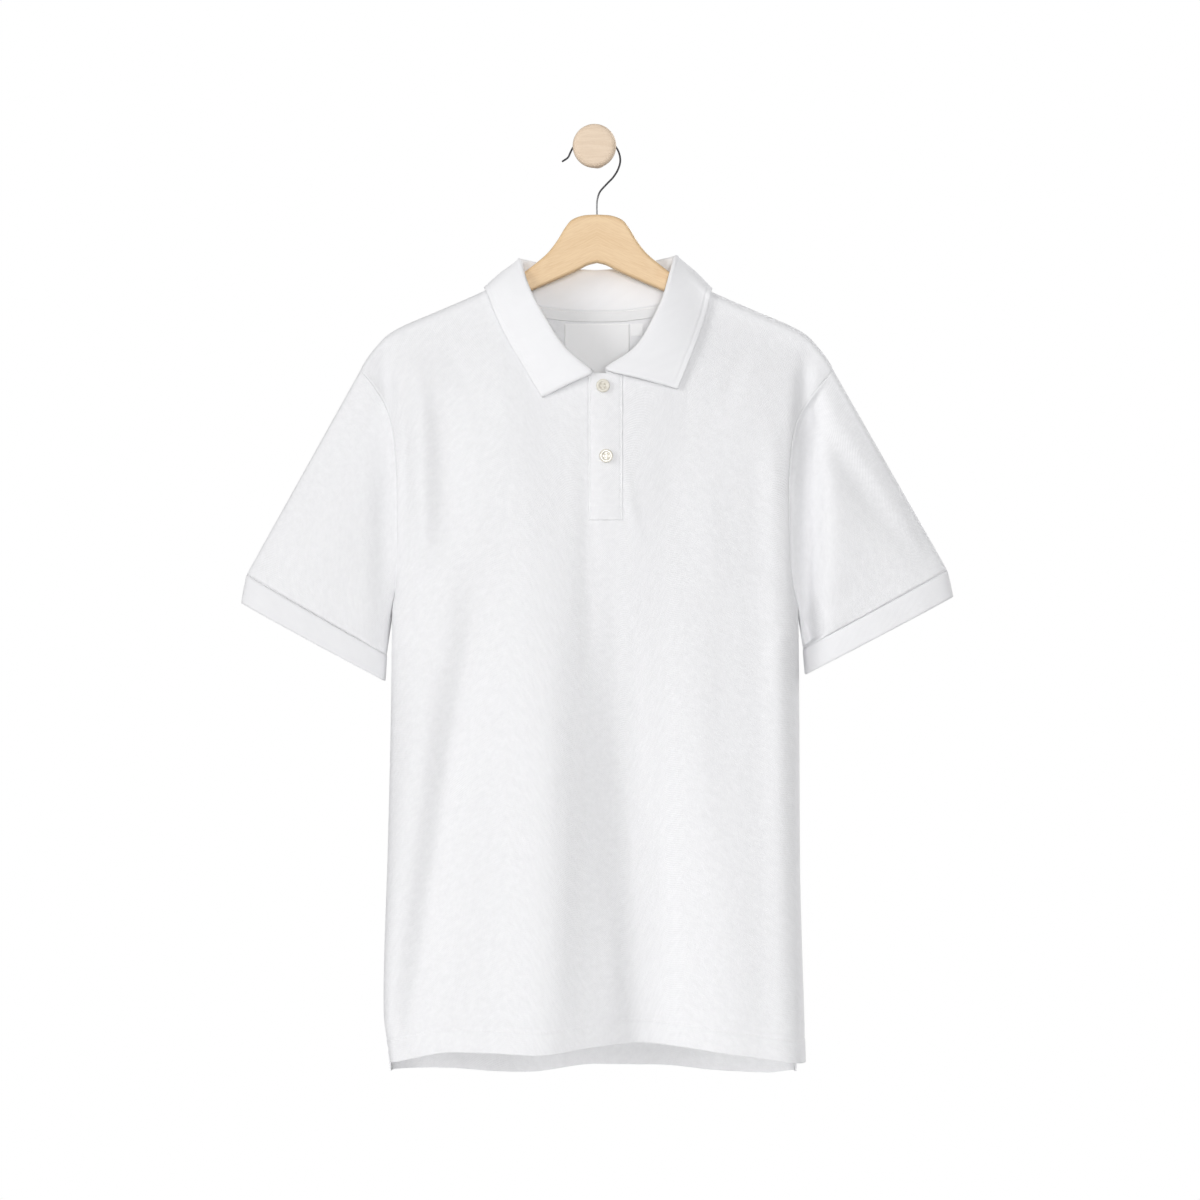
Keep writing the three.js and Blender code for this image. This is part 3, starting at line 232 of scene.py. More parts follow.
def through(table, key, value):
    """A smooth function through two columns of a table: cubic pieces whose slope at a knot is the
    harmonic mean of the chords beside it, or nothing where they differ in sign, so it never overshoots."""
    x, y = np.array(sorted((row[key], row[value]) for row in table), float).T
    chord = np.diff(y) / np.diff(x)
    before, after = chord[:-1], chord[1:]
    same = before * after > 0
    mean = 2 * before * after / np.where(same, before + after, 1)
    slope = np.concatenate([chord[:1], np.where(same, mean, 0), chord[-1:]])

    def value_at(v):
        v = np.clip(np.asarray(v, float), x[0], x[-1])
        i = np.clip(np.searchsorted(x, v, side="right") - 1, 0, len(x) - 2)
        width = x[i + 1] - x[i]
        t = (v - x[i]) / width
        rise = (y[i + 1] - y[i]) * t * t * (3 - 2 * t)
        return y[i] + rise + width * (slope[i] * t * (1 - t) ** 2 - slope[i + 1] * t * t * (1 - t))

    return value_at


def curve_through(knots, t):
    """Points at shares t of a centripetal Catmull-Rom line through knots: in each span a cubic whose end
    slopes weigh the neighbouring spans by the square root of their length."""
    first = 2 * knots[..., :1, :] - knots[..., 1:2, :]
    last = 2 * knots[..., -1:, :] - knots[..., -2:-1, :]
    padded = np.concatenate([first, knots, last], axis=-2)
    spans = knots.shape[-2] - 1
    at = np.clip(np.asarray(t) * spans, 0, spans - 1e-9)
    i = at.astype(int)
    w = (at - i)[:, None]
    p0, p1, p2, p3 = (padded[..., i + n, :] for n in range(4))
    d0, d1, d2 = (
        np.maximum(np.linalg.norm(b - a, axis=-1, keepdims=True), 1e-6) ** 0.5
        for a, b in ((p0, p1), (p1, p2), (p2, p3))
    )
    s1 = ((p1 - p0) / d0 - (p2 - p0) / (d0 + d1) + (p2 - p1) / d1) * d1
    s2 = ((p2 - p1) / d1 - (p3 - p1) / (d1 + d2) + (p3 - p2) / d2) * d1
    return (
        p1 + s1 * w + (3 * (p2 - p1) - 2 * s1 - s2) * w**2 + (2 * (p1 - p2) + s1 + s2) * w**3
    )


def unit(v):
    return v / np.maximum(np.linalg.norm(v, axis=-1, keepdims=True), 1e-12)


def cumulative(grid, axis):
    """Length of cloth from the grid's first row (axis 0) or column (axis 1) to each point."""
    steps = np.linalg.norm(np.diff(grid, axis=axis), axis=-1)
    return np.insert(np.cumsum(steps, axis=axis), 0, 0, axis=axis)


def normals_of(grid, wrap=False):
    """Cross product of the way to the next column and the way to the next row, at each point."""
    if wrap:
        across = np.roll(grid, -1, axis=1) - np.roll(grid, 1, axis=1)
    else:
        across = np.gradient(grid, axis=1)
    return unit(np.cross(across, np.gradient(grid, axis=0)))


def creased(x, z, creases):
    """Sum of small creases. Each one's depth grows from nothing at its ends as the sine of the share of
    its length, and falls away across it as a bell; its line bows sideways by the same sine."""
    total = np.zeros(np.broadcast(x, z).shape)
    for x0, z0, x1, z1, half0, half1, depth, bow in creases:
        dx, dz = x1 - x0, z1 - z0
        length = np.hypot(dx, dz)
        t = np.clip(((x - x0) * dx + (z - z0) * dz) / length**2, 0, 1)
        swell = np.sin(np.pi * t)
        across = ((x - x0) * dz - (z - z0) * dx) / length - bow * swell
        total += depth * swell**0.85 * bell(across, lerp(half0, half1, t))
    return total


# the body's form
edge_left, edge_right, edge_turn = (through(BODY_EDGE, 0, n) for n in (1, 2, 3))
front_depth, back_depth = (through(BODY_DEPTH, 0, n) for n in (1, 2))
shoulder_line = through(SHOULDER_LINE, 0, 1)
front_neck, back_neck = through(FRONT_NECK, 0, 1), through(BACK_NECK, 0, 1)
front_hem, back_hem = through(FRONT_HEM, 0, 1), through(BACK_HEM, 0, 1)


def panel_edge(z, sign):
    return np.where(sign < 0, edge_left(z), edge_right(z))


def section_half(z, sign):
    return panel_edge(z, sign) / np.sin(np.radians(edge_turn(z)))


def side_share(x, z):
    """Share of the full depth at x: one less the cube of the share across, to the power 1/3.5."""
    across = np.minimum(1, np.abs(x) / section_half(z, x))
    return (1 - across**3) ** (1 / 3.5)


def drape(drop, depth):
    """Depth gained at a drop below the shoulder line: a quarter round over the hanger, then a swell to
    the full depth as one less the exponential of minus the power 1.5 of the drop."""
    held = np.clip(drop, 0, SHOULDER_ROLL)
    roll = np.sqrt(np.maximum(SHOULDER_ROLL**2 - (SHOULDER_ROLL - held) ** 2, 0))
    below = np.maximum(drop - SHOULDER_ROLL, 0)
    return roll + (depth - SHOULDER_ROLL) * (1 - np.exp(-((below / 65) ** 1.5)))


def folds_at(folds, x, z):
    """Sum of the large folds: each rises and dies away smoothly down its line, and is a bell across it."""
    total = np.zeros(np.broadcast(x, z).shape)
    for top_x, top_z, foot_x, foot_z, top_half, foot_half, depth, rise, fade, lean in folds:
        down = np.clip((top_z - z) / (top_z - foot_z), 0, 1)
        share = smooth(down / rise)
        if fade > 0:
            share = share * (1 - smooth((down - 1 + fade) / fade))
        across = x - lerp(top_x, foot_x, down)
        half = lerp(top_half, foot_half, down) * np.where(across > 0, lean, 1.0)
        total += depth * share * bell(across, half)
    return total


def ripple(x, z, phase):
    """Slight unevenness of hung cloth: three slow waves across and down, half a millimetre each."""
    return (
        0.5 * np.sin(x / 23 + 1.3 * np.sin(z / 91 + phase) + phase)
        + 0.4 * np.sin(x / 41 - z / 57 + 2 * phase)
        + 0.25 * np.sin(x / 12.5 + z / 131 + 3 * phase)
    )


def vent_draw(grid, hem, left, right):
    """Draws the free edges of a vent inwards by left and right millimetres, most at the hem."""
    x, z = grid[..., 0], grid[..., 2]
    low = smooth((hem(x) + 1.4 * VENT_HEIGHT - z) / (1.4 * VENT_HEIGHT))
    near = smooth((np.abs(x) / 197 - 0.55) / 0.45)
    grid[..., 0] = x - np.where(x < 0, -left, right) * low * near
    return grid


def vent_spread(x, z, hem):
    near_side = smooth((np.abs(x) / section_half(z, x) - 0.9) / 0.1)
    return VENT_SPREAD * near_side * smooth((hem + VENT_HEIGHT - z) / VENT_HEIGHT)


def panel_depth(x, z, depth, folds, creases, hem, phase):
    """How far a panel stands off the seam plane: the drape, less its folds, creases and ripple, which
    fade in over the first 20 mm of depth, and never less than a hair's gap plus the vent's spread."""
    full = drape(shoulder_line(np.abs(x)) - z, depth(z) * side_share(x, z))
    worked = folds_at(folds, x, z) + creased(x, z, creases) + ripple(x, z, phase)
    return np.maximum(SEAM_HALF_GAP + vent_spread(x, z, hem(x)), full - worked * smooth(full / 20))


def front_y(x, z):
    return HANG_Y - panel_depth(x, z, front_depth, FRONT_FOLDS, FRONT_CREASES, front_hem, 0.4)


def back_y(x, z):
    return HANG_Y + panel_depth(x, z, back_depth, BACK_FOLDS, BACK_CREASES, back_hem, 1.9)


def neck_lean(z):
    neck_end = shoulder_line(NECK_HALF)
    return NECK_LEAN * np.clip((z - neck_end) / (FRONT_NECK_Z - neck_end), 0, 1)


def on_panel(depth_y, facing, x, z, off):
    """Points of a panel at x and z, moved off its outer face along the normal, found from the slopes
    half a millimetre to each side."""
    x, z = np.broadcast_arrays(np.asarray(x, float), np.asarray(z, float))
    step = 0.5
    slope_x = (depth_y(x + step, z) - depth_y(x - step, z)) / (2 * step)
    slope_z = (depth_y(x, z + step) - depth_y(x, z - step)) / (2 * step)
    normal = unit(np.stack([-slope_x, np.ones_like(x), -slope_z], -1)) * facing
    return np.stack([x, depth_y(x, z), z], -1) + normal * np.asarray(off)[..., None]


def on_front(x, z, off):
    return on_panel(front_y, -1, x, z, off)


def on_back(x, z, off):
    return on_panel(back_y, 1, x, z, off)


def shoulder_columns(count):
    """x, top z and share of the columns from the neck end to the sleeve head, crowded outwards as a sine."""
    t = np.arange(1, count + 1) / count
    share = np.sin(lerp(np.arcsin(NECK_SHARE), np.pi / 2, t))
    x = lerp(NECK_HALF, SHOULDER_TIP[0], (share - NECK_SHARE) / (1 - NECK_SHARE))
    return np.stack([x, shoulder_line(x), share])


def front_side(sign, slot_x, neck_count, shoulder_count):
    """Columns of one side of the front, from an edge of the placket's slot out to the armhole."""
    first = slot_x / float(panel_edge(PLACKET_FOOT_Z, sign))
    t = np.arange(0, neck_count + 1) / neck_count
    away = lerp(sign * (slot_x - NECK_LEAN), NECK_HALF, np.sin(np.pi / 2 * t))
    z = front_neck(away)
    x = sign * away + neck_lean(z)
    x[0] = slot_x
    neck = np.stack([x, z, lerp(first, sign * NECK_SHARE, t)])
    shoulder = shoulder_columns(shoulder_count) * np.array([[sign], [1], [sign]])
    return np.concatenate([neck, shoulder], axis=1)


def column_x(columns, z):
    """x of each column at height z: its share of the half-width, plus what is left of its start above
    the placket's foot."""
    top_x, top_z, share = columns
    sign, size = np.sign(share), np.abs(share)

    def spread(at):
        waist = panel_edge(PLACKET_FOOT_Z, sign)
        return sign * size * (waist + (panel_edge(at, sign) - waist) * size**2)

    left = np.clip((z - PLACKET_FOOT_Z) / (top_z - PLACKET_FOOT_Z), 0, 1)
    return spread(z) + (top_x - spread(top_z)) * left


ROLL_DROPS = np.array([0, 0.35, 1.3, 2.9, 5, 7.6, 10.5])
YOKE_STEPS, ARMHOLE_STEPS, SKIRT_STEPS, HEM_STEPS = 52, 20, 92, 24
HEM_BAND = 30.0  # part of the skirt with fine rows
HEM_STITCH = 21.5  # hem's stitch line above the edge
UNDERARM_ROW = len(ROLL_DROPS) - 1 + YOKE_STEPS + ARMHOLE_STEPS
YOKE_FOOT_ROW = len(ROLL_DROPS) - 1 + YOKE_STEPS


def panel_grid(columns, depth_y, hem):
    """Grid of a panel: rows over the hanger's edge, then evenly to the placket's foot, to the underarm
    and to the hem's band, and fine rows in the band. Depth follows from x and z."""
    top = columns[1]
    edge = hem(column_x(columns, np.full(len(top), HEM_Z)))
    roll = top[None, :] - ROLL_DROPS[:, None]

    def steps(a, b, n):
        return lerp(a, b, (np.arange(1, n + 1) / n)[:, None])

    z = np.concatenate([
        roll,
        steps(roll[-1], np.full_like(top, PLACKET_FOOT_Z), YOKE_STEPS),
        steps(np.full_like(top, PLACKET_FOOT_Z), np.full_like(top, UNDERARM_Z), ARMHOLE_STEPS),
        steps(np.full_like(top, UNDERARM_Z), edge + HEM_BAND, SKIRT_STEPS),
        steps(edge + HEM_BAND, edge, HEM_STEPS),
    ])
    x = column_x(columns, z)
    return np.stack([x, depth_y(x, z), z], -1)


def hem_finish(grid, normals):
    """Hem: the folded band stands 0.35 mm proud below its stitch line, with slight waves, and the stitch
    line is pressed in by half a millimetre as a narrow bell."""
    above = cumulative(grid[::-1], 0)[::-1]
    band = 1 - smooth((above - HEM_STITCH + 1.2) / 1.2)
    wave = 0.28 * np.sin(grid[..., 0] / 4.1 + np.sin(grid[..., 0] / 17))
    lift = band * (0.35 + wave * smooth(above / 6) * 0.5) - 0.55 * bell(above - HEM_STITCH, 1.3)
    return grid + normals * lift[..., None]


def seam_press(grid, normals, distance, depth, half):
    """Presses the cloth in along a seam by depth, as a bell of the distance from it."""
    return grid - normals * (depth * bell(distance, half))[..., None]


# meshes
def put(name, verts, faces, material, uv=None, smooth_faces=True):
    """A mesh object at the origin from points in millimetres, faces as rows of indices, and UVs in
    metres, one per face corner."""
    mesh = bpy.data.meshes.new(name)
    mesh.from_pydata((np.asarray(verts) * MM).tolist(), [], [list(f) for f in faces])
    if uv is not None:
        layer = mesh.uv_layers.new(name="UVMap")
        layer.data.foreach_set("uv", np.asarray(uv, np.float32).ravel())
    mesh.polygons.foreach_set("use_smooth", np.full(len(mesh.polygons), smooth_faces))
    mesh.materials.append(material)
    mesh.update()
    piece = bpy.data.objects.new(name, mesh)
    bpy.context.scene.collection.objects.link(piece)
    return piece


def grid_piece(name, grid, material, wrap=False, flip=False, keep=None, turn_uv=False):
    """A grid of points as quads. The UV map holds the lengths of cloth along the rows and columns."""
    rows, count = grid.shape[:2]
    closed = np.concatenate([grid, grid[:, :1]], axis=1) if wrap else grid
    across, down = cumulative(closed, 1), cumulative(closed, 0)
    across = across - across[:, across.shape[1] // 2][:, None]
    uv_grid = np.stack([down, across] if turn_uv else [across, -down], -1) * MM
    i, j = np.meshgrid(np.arange(rows - 1), np.arange(closed.shape[1] - 1), indexing="ij")
    if keep is not None:
        i, j = i[keep], j[keep]
    i, j = i.ravel(), j.ravel()
    corners = [(i, j), (i, j + 1), (i + 1, j + 1), (i + 1, j)]
    if flip:
        corners = [corners[0], corners[3], corners[2], corners[1]]
    faces = np.stack([a * count + b % count for a, b in corners], -1)
    uv = np.stack([uv_grid[a, b] for a, b in corners], 1)
    piece = put(name, grid.reshape(-1, 3), faces, material, uv)
    if keep is not None:
        drop_loose(piece)
    return piece


def drop_loose(piece):
    """Removes the points that no face uses."""
    mesh = piece.data
    used = np.zeros(len(mesh.vertices), bool)
    index = np.zeros(len(mesh.loops), np.int32)
    mesh.loops.foreach_get("vertex_index", index)
    used[index] = True
    work = bmesh.new()
    work.from_mesh(mesh)
    work.verts.ensure_lookup_table()
    bmesh.ops.delete(work, geom=[work.verts[n] for n in np.flatnonzero(~used)], context="VERTS")
    work.to_mesh(mesh)
    work.free()


def thicken(piece, wall, offset=-1.0):
    """Gives a sheet its thickness, inwards from its face by default."""
    made = piece.modifiers.new("thickness", "SOLIDIFY")
    made.thickness = wall * MM
    made.offset = offset
    made.use_even_offset = False
    return piece


def tube(path, radii, sides, up):
    """Points of a round tube: at each path point a circle of that radius, square to the path."""
    along = unit(np.gradient(path, axis=0))
    first = unit(np.cross(np.broadcast_to(np.asarray(up, float), along.shape), along))
    second = np.cross(along, first)
    angle = np.linspace(0, 2 * np.pi, sides, endpoint=False)
    ring = first[:, None] * np.cos(angle)[None, :, None] + second[:, None] * np.sin(angle)[None, :, None]
    return path[:, None] + ring * np.asarray(radii, float)[:, None, None]


def capped_faces(rows, count):
    """Quads of a closed-round grid, and a many-sided face at each end."""
    i, j = (a.ravel() for a in np.meshgrid(np.arange(rows - 1), np.arange(count), indexing="ij"))
    after = (j + 1) % count
    quads = np.stack([i * count + j, i * count + after, (i + 1) * count + after, (i + 1) * count + j], -1)
    first = list(range(count))[::-1]
    last = [(rows - 1) * count + k for k in range(count)]
    return [list(q) for q in quads.tolist()] + [first, last]


def stitches(name, runs, material, pitch=3.0, length=2.2, radius=0.26):
    """Stitches in a row along each run of (points, normals): small capsules of six sides, laid at equal
    steps along the run and half sunk in the cloth, all in one mesh."""
    sides = 6
    angle = np.linspace(0, 2 * np.pi, sides, endpoint=False)
    shape = np.array([(-0.5, 0.3), (-0.38, 1.0), (0.38, 1.0), (0.5, 0.3)])
    verts, faces = [], []
    for path, normals in runs:
        run = np.insert(np.cumsum(np.linalg.norm(np.diff(path, axis=0), axis=1)), 0, 0)
        spots = np.arange(pitch / 2, run[-1], pitch)

        def at(values):
            return np.stack([np.interp(spots, run, values[:, n]) for n in range(3)], -1)

        centre, normal = at(path), unit(at(normals))
        along = unit(at(np.gradient(path, axis=0)))
        side = unit(np.cross(normal, along))
        normal = np.cross(along, side)
        ring = side[:, None] * np.cos(angle)[None, :, None] + normal[:, None] * np.sin(angle)[None, :, None]
        points = (
            centre[:, None, None]
            + along[:, None, None] * (shape[:, 0] * length)[None, :, None, None]
            + ring[:, None] * (shape[:, 1] * radius)[None, :, None, None]
        )
        start = sum(len(v) for v in verts)
        one = capped_faces(len(shape), sides)
        each = len(shape) * sides
        verts.append(points.reshape(-1, 3))
        faces += [[k + start + n * each for k in f] for n in range(len(spots)) for f in one]
    return put(name, np.concatenate(verts), faces, material)


# materials
def node(tree, kind, links=None, **settings):
    """A node with its settings, and each named input linked to a socket or set to a value."""
    made = tree.nodes.new(kind)
    for key, value in settings.items():
        setattr(made, key, value)
    for socket, source in (links or {}).items():
        if isinstance(source, bpy.types.NodeSocket):
            tree.links.new(source, made.inputs[socket])
        else:
            made.inputs[socket].default_value = source
    return made


def calc(tree, operation, a, b=0.0, c=0.0):
    return node(tree, "ShaderNodeMath", {0: a, 1: b, 2: c}, operation=operation).outputs[0]


def group_of(name, inputs, outputs):
    """An empty node group with named sockets: its tree, its input sockets by name and its output node."""
    tree = bpy.data.node_groups.new(name, "ShaderNodeTree")
    for label, kind, default in inputs:
        socket = tree.interface.new_socket(label, in_out="INPUT", socket_type=kind)
        socket.default_value = default
    for label, kind in outputs:
        tree.interface.new_socket(label, in_out="OUTPUT", socket_type=kind)
    start = tree.nodes.new("NodeGroupInput")
    return tree, start.outputs, tree.nodes.new("NodeGroupOutput")


def mixed(tree, share, first, second):
    made = node(tree, "ShaderNodeMix", data_type="RGBA")
    for socket, source in ((made.inputs[0], share), (made.inputs[6], first), (made.inputs[7], second)):
        if isinstance(source, bpy.types.NodeSocket):
            tree.links.new(source, socket)
        else:
            socket.default_value = source
    return made.outputs[2]


def noise(tree, vector, scale, detail=2.0, rough=0.5):
    links = {"Vector": vector, "Scale": scale, "Detail": detail, "Roughness": rough}
    return node(tree, "ShaderNodeTexNoise", links).outputs["Fac"]


FLOAT, COLOUR, VECTOR = "NodeSocketFloat", "NodeSocketColor", "NodeSocketVector"
SURFACE_OUT = [("Color", COLOUR), ("Roughness", FLOAT), ("Height", FLOAT)]


def pique_group():
    """Pique: a lattice of small raised diamonds, the product of two diagonal sines, made uneven by noise,
    with a slight mottle of the yarn's tone and painted shade in the lattice's grooves, whose colour darkens
    where the lattice is low."""
    tree, given, out = group_of(
        "pique_lattice",
        [("Vector", VECTOR, (0, 0, 0)), ("Cell", FLOAT, 0.0021), ("Light", COLOUR, (1, 1, 1, 1)),
         ("Dark", COLOUR, (0.8, 0.8, 0.8, 1)), ("Rough", FLOAT, 0.9)],
        SURFACE_OUT,
    )
    cells = node(tree, "ShaderNodeVectorMath", {0: given["Vector"]}, operation="SCALE")
    tree.links.new(calc(tree, "DIVIDE", np.pi, given["Cell"]), cells.inputs["Scale"])
    axes = node(tree, "ShaderNodeSeparateXYZ", {0: cells.outputs[0]})
    wobble = calc(tree, "MULTIPLY_ADD", noise(tree, given["Vector"], 190.0), 1.7, -0.85)
    rise = calc(tree, "SINE", calc(tree, "ADD", calc(tree, "ADD", axes.outputs[0], axes.outputs[1]), wobble))
    fall = calc(
        tree, "SINE", calc(tree, "SUBTRACT", calc(tree, "SUBTRACT", axes.outputs[0], axes.outputs[1]), wobble)
    )
    bump = calc(tree, "POWER", calc(tree, "ABSOLUTE", calc(tree, "MULTIPLY", rise, fall)), 0.6)
    yarn = noise(tree, given["Vector"], 520.0, 1.0)
    height = calc(tree, "MULTIPLY", bump, calc(tree, "MULTIPLY_ADD", yarn, 0.7, 0.65))
    slow = noise(tree, given["Vector"], 150.0, 4.0, 0.8)
    # painted shade: the tone follows the lattice's height, so the grooves between the diamonds are painted
    # darker; the slow noise adds the yarn's mottle
    tone = calc(
        tree, "ADD", calc(tree, "MULTIPLY", height, 0.3), calc(tree, "MULTIPLY_ADD", slow, 1.5, -0.35)
    )
    tree.links.new(mixed(tree, tone, given["Dark"], given["Light"]), out.inputs["Color"])
    tree.links.new(
        calc(tree, "MULTIPLY_ADD", slow, 0.12, calc(tree, "SUBTRACT", given["Rough"], 0.06)),
        out.inputs["Roughness"]
    )
    tree.links.new(height, out.inputs["Height"])
    return tree


def rib_group():
    """Flat knit: wales side by side, each a rounded ridge, crossed by the shorter wave of its loops, with
    painted shade: the colour darkens where the knit is low, beside a slow mottle.
    """
    tree, given, out = group_of(
        "flat_knit_wales",
        [("Vector", VECTOR, (0, 0, 0)), ("Wale", FLOAT, 0.0016), ("Course", FLOAT, 0.0011),
         ("Light", COLOUR, (1, 1, 1, 1)), ("Dark", COLOUR, (0.8, 0.8, 0.8, 1)), ("Rough", FLOAT, 0.9)],
        SURFACE_OUT,
    )
    axes = node(tree, "ShaderNodeSeparateXYZ", {0: given["Vector"]})
    wobble = calc(tree, "MULTIPLY_ADD", noise(tree, given["Vector"], 150.0), 1.0, -0.5)
    wale = calc(
        tree, "SINE",
        calc(
            tree, "ADD", calc(tree, "DIVIDE", calc(tree, "MULTIPLY", axes.outputs[0], np.pi), given["Wale"]),
            wobble
        )
    )
    loop = calc(
        tree, "SINE",
        calc(
            tree, "ADD",
            calc(tree, "DIVIDE", calc(tree, "MULTIPLY", axes.outputs[1], np.pi), given["Course"]), wobble
        )
    )
    ridge = calc(tree, "POWER", calc(tree, "ABSOLUTE", wale), 0.6)
    height = calc(
        tree, "ADD", calc(tree, "MULTIPLY", ridge, 0.75),
        calc(tree, "MULTIPLY", calc(tree, "ABSOLUTE", loop), 0.25)
    )
    slow = noise(tree, given["Vector"], 60.0, 3.0, 0.6)
    # painted shade: half the tone follows the knit's height, so the grooves between wales and loops are
    # painted darker; the other half is a slow mottle
    tone = calc(tree, "ADD", calc(tree, "MULTIPLY", height, 0.5), calc(tree, "MULTIPLY", slow, 0.5))
    tree.links.new(mixed(tree, tone, given["Dark"], given["Light"]), out.inputs["Color"])
    tree.links.new(
        calc(tree, "MULTIPLY_ADD", slow, 0.12, calc(tree, "SUBTRACT", given["Rough"], 0.06)),
        out.inputs["Roughness"]
    )
    tree.links.new(height, out.inputs["Height"])
    return tree


def wood_group():
    """Wood: noise drawn out long along the grain, in bands whose edges are broken by a finer noise, and
    short dark pores."""
    tree, given, out = group_of(
        "wood_grain",
        [("Vector", VECTOR, (0, 0, 0)), ("Bands", FLOAT, 90.0), ("Light", COLOUR, (0.9, 0.7, 0.45, 1)),
         ("Dark", COLOUR, (0.7, 0.5, 0.3, 1)), ("Rough", FLOAT, 0.5)],
        SURFACE_OUT,
    )
    drawn = node(tree, "ShaderNodeMapping", {"Vector": given["Vector"], "Scale": (0.09, 1.0, 1.0)})
    broad = noise(tree, drawn.outputs[0], given["Bands"], 4.0, 0.55)
    line = calc(tree, "SINE", calc(tree, "MULTIPLY", broad, 62.0))
    fine = noise(tree, drawn.outputs[0], calc(tree, "MULTIPLY", given["Bands"], 9.0), 2.0, 0.6)
    band = calc(tree, "MULTIPLY_ADD", line, 0.13, calc(tree, "MULTIPLY_ADD", broad, 0.8, 0.05))
    share = calc(tree, "ADD", band, calc(tree, "MULTIPLY_ADD", fine, 0.8, -0.4))
    pores = calc(tree, "GREATER_THAN", fine, 0.66)
    shade = calc(tree, "SUBTRACT", share, calc(tree, "MULTIPLY", pores, 0.25))
    tree.links.new(
        mixed(
            tree, calc(tree, "MAXIMUM", 0.0, calc(tree, "MINIMUM", 1.0, shade)), given["Dark"], given["Light"]
        ),
        out.inputs["Color"]
    )
    tree.links.new(
        calc(tree, "MULTIPLY_ADD", fine, 0.15, calc(tree, "SUBTRACT", given["Rough"], 0.07)),
        out.inputs["Roughness"]
    )
    tree.links.new(calc(tree, "SUBTRACT", fine, calc(tree, "MULTIPLY", pores, 0.5)), out.inputs["Height"])
    return tree


def surface(name, group, values, source, strength, distance, **shader):
    """A material: the group gives its colour, roughness and height, from the piece's UV map or from the
    object's own place. Whatever is the same all over is set on the shader's own sockets."""
    material = bpy.data.materials.new(name)
    material.use_nodes = True
    tree = material.node_tree
    base = tree.nodes["Principled BSDF"]
    inner = node(tree, "ShaderNodeGroup", node_tree=group)
    for label, value in values.items():
        inner.inputs[label].default_value = value
    if source == "UV":
        place = node(tree, "ShaderNodeUVMap", uv_map="UVMap").outputs[0]
    else:
        place = source(tree, node(tree, "ShaderNodeTexCoord").outputs["Object"])
    tree.links.new(place, inner.inputs["Vector"])
    tree.links.new(inner.outputs["Color"], base.inputs["Base Color"])
    tree.links.new(inner.outputs["Roughness"], base.inputs["Roughness"])
    bump = node(
        tree, "ShaderNodeBump",
        {"Height": inner.outputs["Height"], "Strength": strength, "Distance": distance}
    )
    tree.links.new(bump.outputs[0], base.inputs["Normal"])
    for label, value in shader.items():
        base.inputs[label.replace("_", " ")].default_value = value
    return material


PIQUE, RIB, WOOD = pique_group(), rib_group(), wood_group()


def along_arm(tree, place):
    """Place along each arm of the hanger: x is mirrored at the middle joint, then the board is turned by
    the arm's slope of 23 degrees, so that the grain meets in a V."""
    axes = node(tree, "ShaderNodeSeparateXYZ", {0: place})
    side = calc(tree, "ABSOLUTE", axes.outputs[0])
    joined = node(tree, "ShaderNodeCombineXYZ", {0: side, 1: axes.outputs[1], 2: axes.outputs[2]})
    turned = node(
        tree, "ShaderNodeMapping", {"Vector": joined.outputs[0], "Rotation": (0, np.radians(-24), 0)}
    )
    return turned.outputs[0]


def as_placed(tree, place):
    return place


pique = surface(
    "white_pique", PIQUE,
    {"Cell": 0.0017, "Light": (0.91, 0.91, 0.925, 1), "Dark": (0.8, 0.8, 0.815, 1), "Rough": 0.92},
    "UV", 0.5, 0.0004, Sheen_Weight=0.15, Sheen_Roughness=0.5, Specular_IOR_Level=0.25,
)
rib = surface(
    "white_flat_knit", RIB,
    {
        "Wale": 0.0012, "Course": 0.001, "Light": (0.91, 0.91, 0.925, 1), "Dark": (0.815, 0.815, 0.83, 1),
        "Rough": 0.9
    },
    "UV", 0.35, 0.0004, Sheen_Weight=0.15, Sheen_Roughness=0.5, Specular_IOR_Level=0.25,
)
# painted shade: the cuffs' knit is a darker copy of the collar's white knit, standing in for the shade on the
# cuffs
shaded_cuff_rib = surface(
    "white_cuff_knit", RIB,
    {
        "Wale": 0.0012, "Course": 0.001, "Light": (0.87, 0.87, 0.885, 1), "Dark": (0.77, 0.77, 0.785, 1),
        "Rough": 0.9
    },
    "UV", 0.45, 0.0004, Sheen_Weight=0.15, Sheen_Roughness=0.5, Specular_IOR_Level=0.25,
)
tape = surface(
    "white_woven_tape", RIB,
    {
        "Wale": 0.0008, "Course": 0.0006, "Light": (0.9, 0.9, 0.905, 1), "Dark": (0.8, 0.8, 0.805, 1),
        "Rough": 0.8
    },
    "UV", 0.4, 0.0003, Specular_IOR_Level=0.3,
)
# painted light: the labels' weave is lighter than the shirt's cloth, to lift the shade inside the neck
lightened_label_weave = surface(
    "white_woven_label", RIB,
    {
        "Wale": 0.0006, "Course": 0.0005, "Light": (0.92, 0.92, 0.925, 1), "Dark": (0.86, 0.86, 0.865, 1),
        "Rough": 0.6
    },
    "UV", 0.25, 0.0002, Specular_IOR_Level=0.4,
)
thread = surface(
    "white_sewing_thread", RIB,
    {
        "Wale": 0.0005, "Course": 0.0009, "Light": (0.93, 0.93, 0.94, 1), "Dark": (0.84, 0.84, 0.85, 1),
        "Rough": 0.6
    },
    as_placed, 0.3, 0.0002, Sheen_Weight=0.2, Specular_IOR_Level=0.4,
)
button_thread = surface(
    "cream_sewing_thread", RIB,
    {
        "Wale": 0.0005, "Course": 0.0009, "Light": (0.8, 0.77, 0.69, 1), "Dark": (0.7, 0.66, 0.57, 1),
        "Rough": 0.7
    },
    as_placed, 0.3, 0.0002, Specular_IOR_Level=0.3,
)
